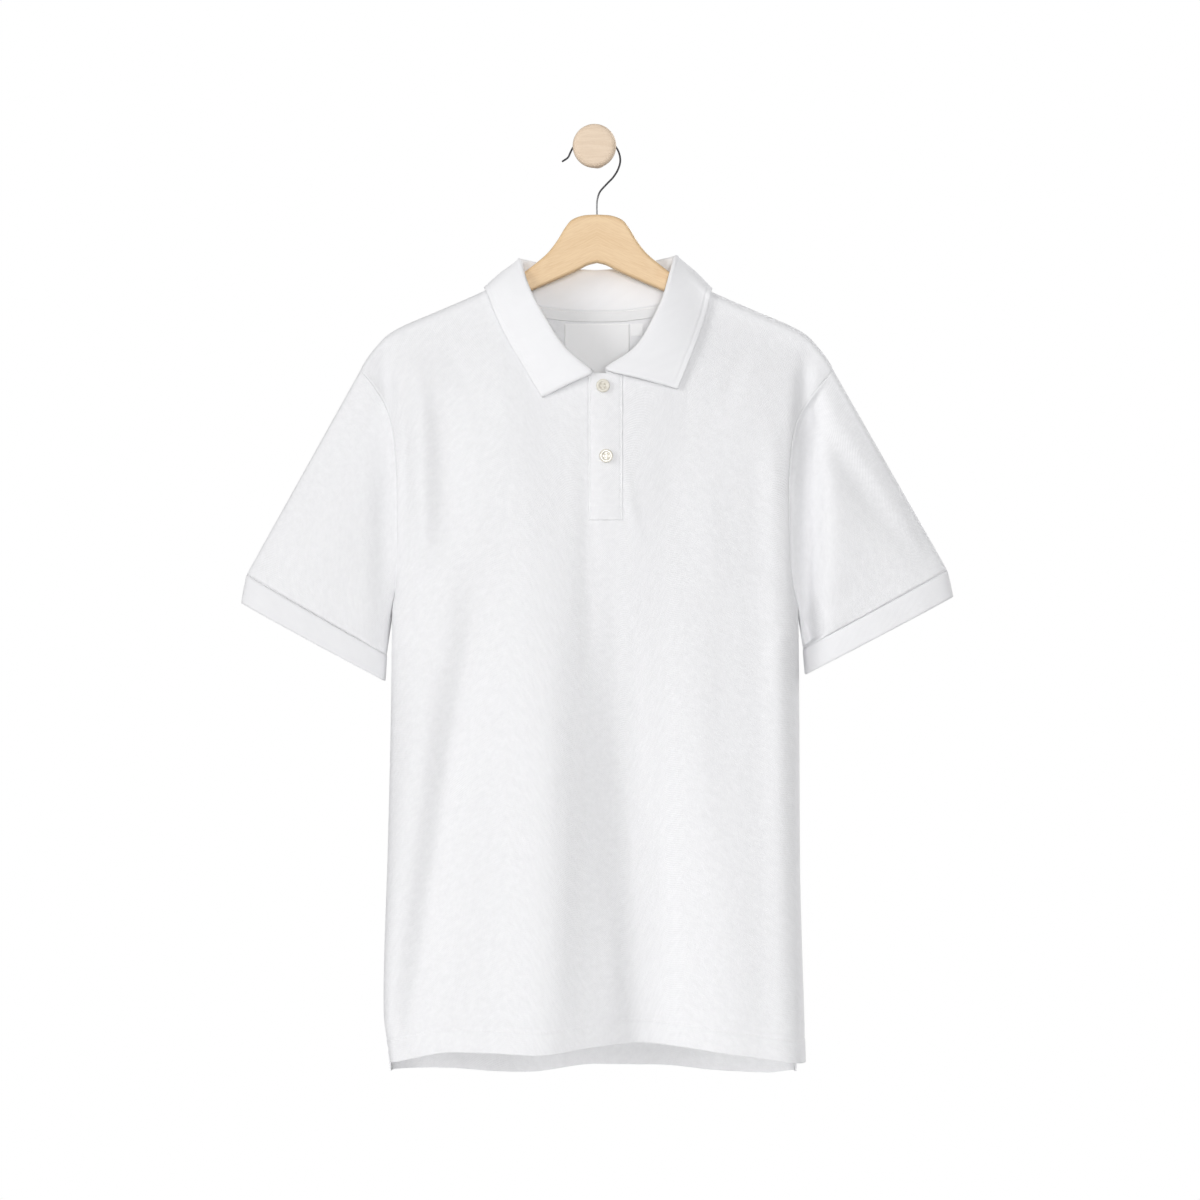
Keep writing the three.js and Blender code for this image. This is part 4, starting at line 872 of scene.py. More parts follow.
board = surface(
    "honey_hanger_wood", WOOD,
    {"Bands": 120.0, "Light": (0.83, 0.62, 0.38, 1), "Dark": (0.68, 0.46, 0.25, 1), "Rough": 0.5},
    along_arm, 0.12, 0.0003, Specular_IOR_Level=0.4, Coat_Weight=0.12, Coat_Roughness=0.35,
)
peg_wood = surface(
    "pale_peg_wood", WOOD,
    {"Bands": 70.0, "Light": (0.84, 0.69, 0.54, 1), "Dark": (0.7, 0.55, 0.41, 1), "Rough": 0.6},
    as_placed, 0.15, 0.0003, Specular_IOR_Level=0.3,
)


def chrome_finish():
    """Wire: metal painted near-black for the dark surroundings that it mirrors, a painted reflection, and a
    lighter grey down its shank as a painted highlight, with roughness in patches and fine drawing lines.
    """
    material = bpy.data.materials.new("polished_hook_wire")
    material.use_nodes = True
    tree = material.node_tree
    base = tree.nodes["Principled BSDF"]
    place = node(tree, "ShaderNodeTexCoord").outputs["Object"]
    patch = noise(tree, place, 60.0, 3.0)
    line = noise(tree, place, 900.0, 1.0)
    # painted reflection: the near-black tones, varied in random patches, stand in for the dark surroundings
    # mirrored in the polished wire
    tone = mixed(tree, patch, (0.035, 0.035, 0.04, 1), (0.09, 0.09, 0.095, 1))
    # painted highlight: below 36 mm under the hook's middle the wire blends to a lighter grey down its shank
    height = node(tree, "ShaderNodeSeparateXYZ", {0: place}).outputs[2]
    shank = node(
        tree, "ShaderNodeMapRange", {"Value": height, "From Min": -0.036, "From Max": -0.05}
    ).outputs[0]
    tree.links.new(mixed(tree, shank, tone, (0.22, 0.22, 0.225, 1)), base.inputs["Base Color"])
    tree.links.new(calc(tree, "MULTIPLY_ADD", patch, 0.14, 0.42), base.inputs["Roughness"])
    bump = node(tree, "ShaderNodeBump", {"Height": line, "Strength": 0.01, "Distance": 0.00002})
    tree.links.new(bump.outputs[0], base.inputs["Normal"])
    base.inputs["Metallic"].default_value = 1.0
    return material


def shell_finish():
    """Cream shell: soft clouds of two creams drawn out as in cut shell, under a polished coat."""
    material = bpy.data.materials.new("cream_button_shell")
    material.use_nodes = True
    tree = material.node_tree
    base = tree.nodes["Principled BSDF"]
    place = node(tree, "ShaderNodeTexCoord").outputs["Object"]
    drawn = node(tree, "ShaderNodeMapping", {"Vector": place, "Scale": (1.0, 1.0, 3.0)}).outputs[0]
    cloud = noise(tree, drawn, 180.0, 3.0, 0.6)
    tree.links.new(
        mixed(tree, cloud, (0.62, 0.58, 0.49, 1), (0.82, 0.79, 0.71, 1)), base.inputs["Base Color"]
    )
    tree.links.new(calc(tree, "MULTIPLY_ADD", cloud, 0.15, 0.2), base.inputs["Roughness"])
    bump = node(tree, "ShaderNodeBump", {"Height": cloud, "Strength": 0.08, "Distance": 0.0003})
    tree.links.new(bump.outputs[0], base.inputs["Normal"])
    base.inputs["Coat Weight"].default_value = 0.4
    base.inputs["Coat Roughness"].default_value = 0.15
    return material


chrome, shell = chrome_finish(), shell_finish()

# body panels
NECK_STEPS, SHOULDER_STEPS, SLOT_STEPS = 22, 46, 10
slot_left, slot_right = PLACKET_LEFT + PLACKET_LAP, PLACKET_RIGHT - PLACKET_LAP
left_columns = front_side(-1, slot_left, NECK_STEPS, SHOULDER_STEPS)[:, ::-1]
right_columns = front_side(1, slot_right, NECK_STEPS, SHOULDER_STEPS)
slot_share = np.arange(1, SLOT_STEPS) / SLOT_STEPS
slot_x = lerp(slot_left, slot_right, slot_share)
slot_columns = np.stack([
    slot_x, front_neck(np.abs(slot_x - NECK_LEAN)),
    lerp(left_columns[2, -1], right_columns[2, 0], slot_share),
])
front_columns = np.concatenate([left_columns, slot_columns, right_columns], axis=1)


def finish_panel(grid, facing):
    """Presses a panel's armhole, side and shoulder seams in a little and finishes its hem."""
    normals = normals_of(grid)
    normals = normals * np.sign(np.mean(normals[..., 1])) * facing
    from_left = cumulative(grid, 1)
    to_right = from_left[:, -1:] - from_left
    to_top = cumulative(grid, 0)
    vent = smooth((grid[..., 2] - grid[-1:, :, 2] - VENT_HEIGHT) / 10)
    grid = seam_press(grid, normals * vent[..., None], from_left, 0.45, 1.5)
    grid = seam_press(grid, normals * vent[..., None], to_right, 0.6, 1.5)
    on_shoulder = smooth((np.abs(grid[:1, :, 0]) - NECK_HALF + 2) / 2)
    grid = seam_press(grid, normals * on_shoulder[..., None], to_top, 0.35, 1.6)
    return hem_finish(grid, normals), normals


front_form = vent_draw(panel_grid(front_columns, front_y, front_hem), front_hem, 4.5, 0.5)
front_grid, front_normals = finish_panel(front_form, -1)
BACK_NECK_STEPS, BACK_SHOULDER_STEPS = 18, 38
share_out = np.arange(0, BACK_NECK_STEPS + 1) / BACK_NECK_STEPS
back_neck_x = NECK_HALF * np.sin(np.pi / 2 * share_out)
half_back = np.concatenate([
    np.stack([back_neck_x, back_neck(back_neck_x), NECK_SHARE * share_out]),
    shoulder_columns(BACK_SHOULDER_STEPS),
], axis=1)
back_columns = np.concatenate([half_back[:, :0:-1] * np.array([[-1], [1], [-1]]), half_back], axis=1)
back_form = vent_draw(panel_grid(back_columns, back_y, back_hem), back_hem, 3.0, 9.0)
back_grid, back_normals = finish_panel(back_form, 1)

slot_cells = np.ones((front_grid.shape[0] - 1, front_grid.shape[1] - 1), bool)
slot_start = NECK_STEPS + SHOULDER_STEPS
slot_cells[: YOKE_FOOT_ROW - 3, slot_start : slot_start + SLOT_STEPS] = False
front_cloth = thicken(grid_piece("front_cloth", front_grid, pique, flip=True, keep=slot_cells), PIQUE_WALL)
back_cloth = thicken(grid_piece("back_cloth", back_grid, pique), PIQUE_WALL)

# sleeves and cuffs
ring_shares = (SHOULDER_TIP[1] - front_grid[: UNDERARM_ROW + 1, 0, 2]) / (SHOULDER_TIP[1] - UNDERARM_Z)
ring_shares = np.clip(ring_shares, 0, 1)
ring_shares = np.concatenate([ring_shares, ring_shares[-2:0:-1]])
ring_face = np.zeros(len(ring_shares))
ring_face[1:UNDERARM_ROW] = -1
ring_face[UNDERARM_ROW + 1 :] = 1


def oval_ring(sign, outer, inner, half_thickness):
    """Flat oval between an outer and an inner corner: depth goes as 4 t (1 - t) to the power 0.42."""
    across = lerp(ring_shares, smooth(ring_shares), 0.35)
    depth = half_thickness * (4 * across * (1 - across)) ** 0.42
    return np.stack([
        sign * lerp(outer[0], inner[0], across),
        HANG_Y - CUFF_FORWARD + ring_face * depth,
        lerp(outer[1], inner[1], across),
    ], -1)


def armhole_ring(sign):
    """The panels' own armhole edges: down the front's and up the back's, from the shoulder's tip."""
    column = 0 if sign < 0 else -1
    front, back = front_grid[: UNDERARM_ROW + 1, column], back_grid[: UNDERARM_ROW + 1, column]
    return np.concatenate([front, back[-2:0:-1]])


SLEEVE_RINGS = 74
CUFF_RINGS = 14


def sleeve_grid(name):
    """Rings from the armhole to the cuff seam: a straight blend of the two rings, swelling by a sine of
    the way along and round, with the sleeve's small creases on its faces."""
    sign, outer, inner, _, _ = SLEEVES[name]
    start, end = armhole_ring(sign), oval_ring(sign, outer, inner, CUFF_HALF_THICKNESS)
    steps = np.arange(SLEEVE_RINGS + 1) / SLEEVE_RINGS
    t = (steps ** 1.15)[:, None]
    swell = SLEEVE_BULGE * np.sin(np.pi * t) * np.sin(np.pi * ring_shares[None, :] ** 0.8)
    grid = lerp(start[None], end[None], t[..., None])
    held = smooth(t / 0.03) * smooth((1 - t) / 0.06) * smooth(4 * ring_shares * (1 - ring_shares) / 0.35)
    worked = (
        creased(
            grid[..., 0], grid[..., 2], SLEEVE_CREASES[name]
        ) + 0.7 * ripple(grid[..., 0], grid[..., 2], 2.2 + sign)
    ) * held
    front_side_only = np.where(ring_face < 0, 1.0, 0.8)
    grid[..., 1] += ring_face * (swell - worked * front_side_only)
    normals = normals_of(grid, wrap=True) * sign
    along = cumulative(grid, 0)
    return seam_press(grid, normals, along[-1:] - along, 0.3 if sign < 0 else 0.4, 1.5)


def cuff_grid(name):
    """Rings of the cuff band: straight from the seam to the free edge, a third of a millimetre proud
    between its ends, its edge drawn in a little."""
    sign, seam_outer, seam_inner, hem_outer, hem_inner = SLEEVES[name]
    t = np.linspace(0, 1, CUFF_RINGS - 1)
    rings = [
        oval_ring(
            sign, lerp(np.array(seam_outer), np.array(hem_outer), s),
            lerp(np.array(seam_inner), np.array(hem_inner), s), CUFF_HALF_THICKNESS
        )
        for s in t
    ]
    grid = np.stack(rings)
    normals = normals_of(grid, wrap=True) * sign
    wave = 0.25 * np.sin(np.arange(grid.shape[1]) / 3.1)[None, :] * smooth(t)[:, None]
    lift = 0.3 * np.sin(np.pi * t)[:, None] ** 0.4 + 0.1 + wave
    lift = lift - (0.3 if sign < 0 else 0.4) * bell(t[:, None], 0.05)
    return grid + normals * lift[..., None]


sleeves, cuffs = {}, {}
for side, (sign, *_) in SLEEVES.items():
    sleeves[side] = thicken(
        grid_piece(f"sleeve_{side}_cloth", sleeve_grid(side), pique, wrap=True, flip=sign < 0), PIQUE_WALL
    )
    cuffs[side] = thicken(
        grid_piece(f"cuff_{side}_knit", cuff_grid(side), shaded_cuff_rib, wrap=True, flip=sign < 0), KNIT_WALL
    )

# collar
COLLAR_STATIONS_BACK, COLLAR_STATIONS_FRONT = 46, 64


def rim_point(grid, x):
    """Point of a panel's top edge at x."""
    rim = grid[0]
    return np.stack([x, np.interp(x, rim[:, 0], rim[:, 1]), np.interp(x, rim[:, 0], rim[:, 2])], -1)


def collar_half(table, sign, shares):
    """Seam, fold and edge points of half the collar, from the middle back to the front corner."""
    seam_share, fold_x, fold_y, fold_z, edge_x, edge_z, lift = (
        through(table, 0, n)(shares) for n in range(1, 8)
    )
    behind = shares < COLLAR_BACK_SHARE
    front_share = (seam_share - COLLAR_BACK_SHARE) / (1 - COLLAR_BACK_SHARE)
    seam_x = np.where(
        behind, NECK_HALF * seam_share / COLLAR_BACK_SHARE, lerp(NECK_HALF, COLLAR_FRONT_X, front_share)
    )
    neck_end = np.clip(seam_x / NECK_HALF, 0, 1) ** 6
    front_seam = rim_point(front_grid, sign * seam_x + neck_lean(front_neck(seam_x)))
    seam = np.where(behind[:, None], rim_point(back_grid, sign * seam_x), front_seam)
    seam[:, 1] += np.where(behind, -0.6, 0.6)
    seam[:, 0] -= sign * neck_end * 0.8
    seam[:, 2] += 0.1 + neck_end * 0.6
    fold = np.stack([sign * fold_x, fold_y, fold_z], -1)
    edge_z = np.minimum(edge_z, shoulder_line(edge_x) - 0.3)
    off = lift + KNIT_WALL / 2
    edge = np.where(
        behind[:, None], on_back(sign * edge_x, edge_z, off), on_front(sign * edge_x, edge_z, off)
    )
    return seam, fold, edge, behind


def collar_grid():
    """Stations round the neck, each with a line up the stand, over the fold and down the leaf: a smooth
    line through the seam, the stand's middle, the roll's two flanks and top, the leaf's middle and its
    edge. The leaf is kept clear of the body."""
    back = COLLAR_BACK_SHARE * np.sin(np.pi / 2 * np.arange(COLLAR_STATIONS_BACK) / COLLAR_STATIONS_BACK)
    crowd = 1 - np.sin(np.pi / 2 * (1 - np.arange(COLLAR_STATIONS_FRONT + 1) / COLLAR_STATIONS_FRONT))
    shares = np.concatenate([back, COLLAR_BACK_SHARE + (1 - COLLAR_BACK_SHARE) * crowd])
    left, right = collar_half(COLLAR_LEFT, -1, shares), collar_half(COLLAR_RIGHT, 1, shares)
    seam, fold, edge, behind = (
        np.concatenate([a[1:][::-1], b]) for a, b in zip(left, right)
    )
    out = fold - np.array([2, -50, 0])
    out[:, 2] = 0
    out = unit(out)
    stand, leaf = (np.linalg.norm(v, axis=1, keepdims=True) for v in (fold - seam, edge - fold))
    roll = np.minimum(COLLAR_ROLL, stand * 0.3)
    down = np.array([0, 0, -1.0])
    inner, outer = fold - out * roll + down * roll, fold + out * roll + down * roll
    stand_mid = (seam + inner) / 2 - out * 0.6
    leaf_mid = lerp(outer, edge, 0.45) + out * leaf * 0.035
    knots = np.stack([seam, stand_mid, inner, fold, outer, leaf_mid, edge], 1)
    leaf_t = 4 / 6 + (2 / 6) * (1 - (1 - np.linspace(0, 1, 34)) ** 1.35)
    t = np.concatenate([np.linspace(0, 2 / 6, 13), np.linspace(2 / 6, 4 / 6, 15)[1:-1], leaf_t])
    grid = curve_through(knots, t)
    clear = KNIT_WALL / 2 + 0.55
    x, y, z = grid[..., 0], grid[..., 1], grid[..., 2]
    on_leaf = (t > 0.55)[None, :]
    hold_back = np.maximum(y, back_y(x, z) + clear)
    hold_front = np.minimum(y, front_y(x, z) - clear)
    kept = np.where(behind[:, None], hold_back, hold_front)
    grid[..., 1] = np.where(on_leaf, kept, y)
    return grid, t


collar_points, collar_t = collar_grid()
collar_normals = normals_of(collar_points)
# The knitted welt: a narrow ridge 4.5 mm inside the leaf's free edge, and a slight lip at the edge.
to_edge = cumulative(collar_points[:, ::-1], 1)[:, ::-1]
along_collar = cumulative(collar_points, 0)
to_corner = np.minimum(along_collar, along_collar[-1:] - along_collar)
on_leaf = (collar_t > 0.6)[None, :]
welt = 0.32 * bell(
    np.minimum(to_edge, to_corner) - 4.6, 0.9
) - 0.22 * bell(np.minimum(to_edge, to_corner) - 6.4, 1.0)
collar_points = collar_points + collar_normals * (welt * on_leaf)[..., None]
collar_knit = thicken(
    grid_piece("collar_knit", collar_points, rib, turn_uv=True), KNIT_WALL, offset=0.0
)


# placket, tape and labels
def laid_grid(place, left, right, top, foot, columns, rows, off):
    """Grid of a piece laid on a panel at a distance off its face, between two sides and two heights."""
    x = np.broadcast_to(np.linspace(left, right, columns + 1), (rows + 1, columns + 1))
    z = lerp(top(x), foot(x), np.linspace(0, 1, rows + 1)[:, None])
    return place(x, z, np.broadcast_to(off, x.shape))


def placket_top(x):
    return front_neck(np.abs(x - NECK_LEAN)) + 2.2


def placket_foot(x):
    return np.full_like(x, PLACKET_FOOT_Z)


STITCH_IN = 2.2  # placket's stitch lines inside its edges
BOX_TOP_Z = -338.0


OVER_FACE = 1.0


def over_drop(x, z):
    """How far the over-strip lies down towards its right edge, as the square of the share across, and
    towards its foot."""
    across = np.clip((x - PLACKET_LEFT) / (PLACKET_RIGHT - PLACKET_LEFT), 0, 1)
    low = smooth((BOX_TOP_Z - z) / (BOX_TOP_Z - PLACKET_FOOT_Z))
    return np.maximum(0.7 * across**2, 0.3 * low)


def strip(off, puff):
    """Placket strip: flat, its stitch lines and edges pressed down, the cloth between them puffed."""
    flat = laid_grid(on_front, PLACKET_LEFT, PLACKET_RIGHT, placket_top, placket_foot, 40, 96, 0.0)
    off = off - (puff > 0) * over_drop(flat[..., 0], flat[..., 2])
    grid = laid_grid(on_front, PLACKET_LEFT, PLACKET_RIGHT, placket_top, placket_foot, 40, 96, off)
    x, z = grid[..., 0], grid[..., 2]
    lines = bell(x - PLACKET_LEFT - STITCH_IN, 0.9) + bell(PLACKET_RIGHT - STITCH_IN - x, 0.9)
    lines = lines + bell(z - BOX_TOP_Z, 1.0) + bell(z - PLACKET_FOOT_Z - STITCH_IN, 1.0)
    edge = np.minimum(np.minimum(x - PLACKET_LEFT, PLACKET_RIGHT - x), z - PLACKET_FOOT_Z)
    grid[..., 1] -= puff * (
        0.5 * smooth(edge / 1.2) - 0.7 * np.minimum(lines, 1) + 0.12 * np.sin(z / 9 + x / 7)
    )
    return grid


over_grid = strip(OVER_FACE, 0.6)
under_grid = strip(-PIQUE_WALL - 0.15, 0.0)
placket_over = thicken(grid_piece("placket_over_cloth", over_grid, pique, flip=True), PLACKET_WALL)
placket_under = thicken(grid_piece("placket_under_cloth", under_grid, pique, flip=True), PIQUE_WALL)

def tape_top(x):
    return back_neck(np.abs(x)) - TAPE_BELOW_SEAM


def tape_foot(x):
    return tape_top(x) - TAPE_HEIGHT


def level(height):
    """A line at one height, for the edges of a label."""
    return lambda x: np.full_like(x, height)


tape_grid = laid_grid(
    on_back, -TAPE_HALF, TAPE_HALF, tape_top, tape_foot, 90, 10, -PIQUE_WALL - 0.06
)
fold_over = np.linspace(-1, 1, tape_grid.shape[0])[:, None]
tape_grid[..., 1] -= 0.12 * (1 - fold_over**2)
neck_tape = thicken(grid_piece("neck_tape_woven", tape_grid, tape, flip=True), TAPE_WALL)
label_pieces = {}
for name, (left, right, top, foot) in LABELS.items():
    grid = laid_grid(
        on_back, left, right, level(top), level(foot),
        36, 36, -PIQUE_WALL - 0.2,
    )
    hang = np.linspace(0, 1, 37)[:, None]
    across = np.linspace(-1, 1, 37)[None, :]
    grid[..., 1] -= 0.3 * hang + 0.2 * np.sin(2.2 * across + 1.0) * hang + 0.1 * hang * across**2
    label_pieces[name] = thicken(grid_piece(f"{name}_woven", grid, lightened_label_weave, flip=True), TAPE_WALL)


# buttons
def button_piece(name, x, z):
    """Button: a turned disc as rings of a polar grid. Its face is dished inside a raised rim, and four
    holes are steep bells in it; the grid closes at the middle of the face and of the back."""
    rings, sides = 46, 72
    radius = np.concatenate(
        [
            np.linspace(0, BUTTON_RADIUS - 0.5, rings),
            [BUTTON_RADIUS - 0.15, BUTTON_RADIUS, BUTTON_RADIUS, BUTTON_RADIUS - 0.9, 0]
        ]
    )
    rim = smooth((radius[:rings] - 3.1) / 1.3) * 0.75 - smooth((radius[:rings] - 5.2) / 1.0) * 0.25
    height = np.concatenate(
        [BUTTON_THICKNESS - 0.75 + rim, [BUTTON_THICKNESS - 0.7, BUTTON_THICKNESS - 1.2, 0.9, 0, 0]]
    )
    angle = np.linspace(0, 2 * np.pi, sides, endpoint=False)
    u, w = radius[:, None] * np.cos(angle), radius[:, None] * np.sin(angle)
    h = np.repeat(height[:, None], sides, 1)
    for su in (-1, 1):
        for sw in (-1, 1):
            away = np.hypot(u - su * BUTTON_HOLE_PITCH, w - sw * BUTTON_HOLE_PITCH)
            hole = 1 - smooth((away - BUTTON_HOLE_RADIUS + 0.2) / 0.35)
            h[:rings] -= 0.9 * hole[:rings]
    foot, ahead = on_front(
        np.array(x), np.array(z), np.array(2.1)
    ), on_front(np.array(x), np.array(z), np.array(3.1))
    outward = unit(ahead - foot)
    across = unit(np.cross(outward, np.array([0, 0, 1.0])))
    up = np.cross(across, outward)
    points = foot + u[..., None] * across + w[..., None] * up + h[..., None] * outward
    verts = points.reshape(-1, 3)
    verts = np.concatenate([verts[:1], verts[sides:-sides], verts[-1:]])
    rows = len(radius) - 2
    i, j = (a.ravel() for a in np.meshgrid(np.arange(rows - 1), np.arange(sides), indexing="ij"))
    after = (j + 1) % sides
    quads = 1 + np.stack([i * sides + j, i * sides + after, (i + 1) * sides + after, (i + 1) * sides + j], -1)
    k = np.arange(sides)
    top = np.stack([np.zeros(sides, int), 1 + (k + 1) % sides, 1 + k], -1)
    base = 1 + (rows - 1) * sides
    bottom = np.stack([np.full(sides, len(verts) - 1), base + k, base + (k + 1) % sides], -1)
    faces = quads.tolist() + top.tolist() + bottom.tolist()
    piece = put(f"{name}_shell", verts, faces, shell)
    # sewing thread: two strands through the holes, side by side up and down
    strands = []
    for su in (-1, 1):
        a = foot + across * su * BUTTON_HOLE_PITCH + outward * (BUTTON_THICKNESS - 0.9)
        s = np.linspace(-1, 1, 11)[:, None]
        strands.append(
            a + up * s * BUTTON_HOLE_PITCH * 1.05 + outward * 0.55 * (1 - s**4) - outward * 0.5 * (s**8)
        )
    return piece, strands


def consistent(piece):
    """Turns all faces of a closed mesh to point outwards."""
    work = bmesh.new()
    work.from_mesh(piece.data)
    bmesh.ops.recalc_face_normals(work, faces=work.faces)
    work.to_mesh(piece.data)
    work.free()
    return piece


def tubes(name, paths, radius, sides, up, material):
    """Round tubes along paths, each closed at both ends, in one mesh."""
    verts, faces = [], []
    for path in paths:
        taper = np.ones(len(path))
        taper[[0, -1]] = 0.4
        ring = tube(path, radius * taper, sides, up)
        start = sum(len(v) for v in verts)
        verts.append(ring.reshape(-1, 3))
        faces += [[k + start for k in f] for f in capped_faces(len(path), sides)]
    return consistent(put(name, np.concatenate(verts), faces, material))


buttons, strands = {}, []
for name, (x, z) in BUTTONS.items():
    piece, pair = button_piece(name, x, z)
    buttons[name] = consistent(piece)
    strands += pair
button_threads = tubes("button_threads", strands, 0.26, 8, (1, 0, 0), button_thread)


# hanger, hook and peg
def hanger_piece():
    """Hanger: its outline, mirrored, in rings moved inwards as a quarter round from the flat side to each
    face, and a plane face each side."""
    knots = np.array([(x, z, 0) for x, z in HANGER_OUTLINE], float)
    right = curve_through(knots, np.linspace(0, 1, 190))[:, :2]
    left = right[-2:0:-1] * np.array([-1, 1])
    outline = np.concatenate([right, left])
    tangent = unit(np.roll(outline, -1, 0) - np.roll(outline, 1, 0))
    inward = np.stack([tangent[:, 1], -tangent[:, 0]], -1)
    angle = np.linspace(0, np.pi / 2, 7)
    inset = np.concatenate([HANGER_ROUND * (1 - np.cos(angle)), [HANGER_ROUND + 0.15]])
    depth = np.concatenate(
        [HANGER_HALF_THICKNESS - HANGER_ROUND + HANGER_ROUND * np.sin(angle), [HANGER_HALF_THICKNESS]]
    )
    inset, depth = np.concatenate([inset[::-1], inset]), np.concatenate([-depth[::-1], depth])
    flat = outline[None] + inward[None] * inset[:, None, None]
    verts = np.stack(
        [flat[..., 0], np.broadcast_to(HANG_Y + depth[:, None], flat.shape[:2]), flat[..., 1]], -1
    )
    faces = capped_faces(len(inset), len(outline))
    return consistent(put("hanger_board", verts.reshape(-1, 3), faces, board))


def hook_piece():
    """Hook: round wire along its line, its free end rounded off as a half ball and its foot in the wood."""
    knots = np.array([(x, HANG_Y, z) for x, z in HOOK_LINE], float)
    path = curve_through(knots, np.linspace(0, 1, 220))
    ahead = unit(path[-1] - path[-2])
    angle = np.linspace(0, np.pi / 2, 7)[1:]
    tip = path[-1] + ahead * (HOOK_RADIUS * np.sin(angle))[:, None]
    body = HOOK_RADIUS * lerp(0.75, 1.0, smooth((path[:, 2] + 62) / 30))
    radii = np.concatenate([body, np.maximum(HOOK_RADIUS * np.cos(angle), 0.02)])
    ring = tube(np.concatenate([path, tip]), radii, 20, (0, 1, 0))
    faces = capped_faces(len(radii), 20)
    return consistent(put("hook_wire", ring.reshape(-1, 3), faces, chrome))


def peg_piece():
    """Peg: its profile, a smooth line through the table's points where it is round, turned about Y."""
    profile = np.array([(0.955 * r, a, 0) for r, a in PEG_PROFILE], float)
    head = curve_through(profile[3:], np.linspace(0, 1, 90))[:, :2]
    stem = np.array(
        [(0.01, 0), (5, 0), (9.9, 0), (10.2, 0.3), (10.2, 16), (10.2, 32), (10.2, 46.8), (10.6, 48.6)]
    )
    line = np.concatenate([stem, head])
    line[-1, 0] = 0.01
    angle = np.linspace(0, 2 * np.pi, 96, endpoint=False)
    aside = smooth((line[:, 1:] - 46) / 5)
    verts = np.stack([
        line[:, :1] * np.cos(angle) + PEG_HEAD_ASIDE[0] * aside,
        np.broadcast_to(-line[:, 1:], (len(line), len(angle))),
        line[:, :1] * np.sin(angle) + PEG_HEAD_ASIDE[1] * aside,
    ], -1)
    return consistent(put("peg_turned", verts.reshape(-1, 3), capped_faces(len(line), len(angle)), peg_wood))


hanger, hook, peg = hanger_piece(), hook_piece(), peg_piece()


# sewing
def row_run(grid, normals, row, lift=0.1):
    return grid[row] + normals[row] * lift, normals[row]


def front_line(x, z, off):
    """A run of stitches on the front's face through points at x, z."""
    steps = 60
    x, z = np.linspace(x[0], x[1], steps), np.linspace(z[0], z[1], steps)
    off = off - over_drop(x, z)
    here = on_front(x, z, off)
    return here, unit(on_front(x, z, off + 1.0) - here)


hem_row = -1 - int(round(HEM_STITCH / HEM_BAND * HEM_STEPS))
hem_stitches = stitches(
    "hem_stitches",
    [row_run(front_grid, front_normals, hem_row), row_run(back_grid, back_normals, hem_row)],
    thread,
)
left_line, right_line = PLACKET_LEFT + STITCH_IN, PLACKET_RIGHT - STITCH_IN
placket_stitches = stitches(
    "placket_stitches",
    [
        front_line((left_line, left_line), (-219, PLACKET_FOOT_Z + STITCH_IN), OVER_FACE),
        front_line((right_line, right_line), (-216, PLACKET_FOOT_Z + STITCH_IN), OVER_FACE),
        front_line((left_line, right_line), (BOX_TOP_Z, BOX_TOP_Z), OVER_FACE),
        front_line(
            (left_line, right_line), (PLACKET_FOOT_Z + STITCH_IN, PLACKET_FOOT_Z + STITCH_IN), OVER_FACE
        ),
    ],
    thread, pitch=2.8, length=2.0,
)


def inside_run(grid, row):
    """A run along a row of the tape or a label, on its face towards the neck."""
    ahead = np.broadcast_to(np.array([0, -1.0, 0]), grid[row].shape)
    return grid[row] + ahead * 0.05, ahead


tape_stitches = stitches(
    "tape_stitches", [inside_run(tape_grid, 1), inside_run(tape_grid, -2)], thread, pitch=2.8, length=2.0
)

# riding: each piece rides on the root body, and the model's parts that it stands for are hidden
for piece, slot, nodes in (
    (front_cloth, "pique", ["front_panel"]), (back_cloth, "pique", ["back_panel"]),
    (sleeves["left"], "pique", ["sleeve_left"]), (sleeves["right"], "pique", ["sleeve_right"]),
    (cuffs["left"], "rib", ["cuff_left"]), (cuffs["right"], "rib", ["cuff_right"]),
    (collar_knit, "rib", ["collar"]), (placket_over, "pique", ["placket_over"]),
    (placket_under, "pique", ["placket_under"]), (neck_tape, "tape", ["neck_tape"]),
    (label_pieces["neck_label"], "tape", ["neck_label"]),
    (label_pieces["size_label"], "tape", ["size_label"]),
    (buttons["button_upper"], "button", ["button_upper"]),
    (buttons["button_lower"], "button", ["button_lower"]),
    (hanger, "hanger_wood", ["hanger"]), (hook, "hook_steel", ["hook"]), (peg, "peg_wood", ["wall_peg"]),
    (hem_stitches, "pique", []), (placket_stitches, "pique", []), (tape_stitches, "tape", []),
    (button_threads, "button", []),
):
    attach(piece, "root")
    if nodes:
        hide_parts(*nodes)

# camera, floor and light
FRAME_CENTRE = (2.85, -426.4)
CAMERA_Y = -2640.0
camera_data = bpy.data.cameras.new("camera")
camera_data.lens, camera_data.sensor_width = 82.1, 36.0
camera = bpy.data.objects.new("camera", camera_data)
camera.location = (FRAME_CENTRE[0] * MM, CAMERA_Y * MM, FRAME_CENTRE[1] * MM)
camera.rotation_euler = (np.pi / 2, 0, 0)
bpy.context.scene.collection.objects.link(camera)
bpy.context.scene.camera = camera


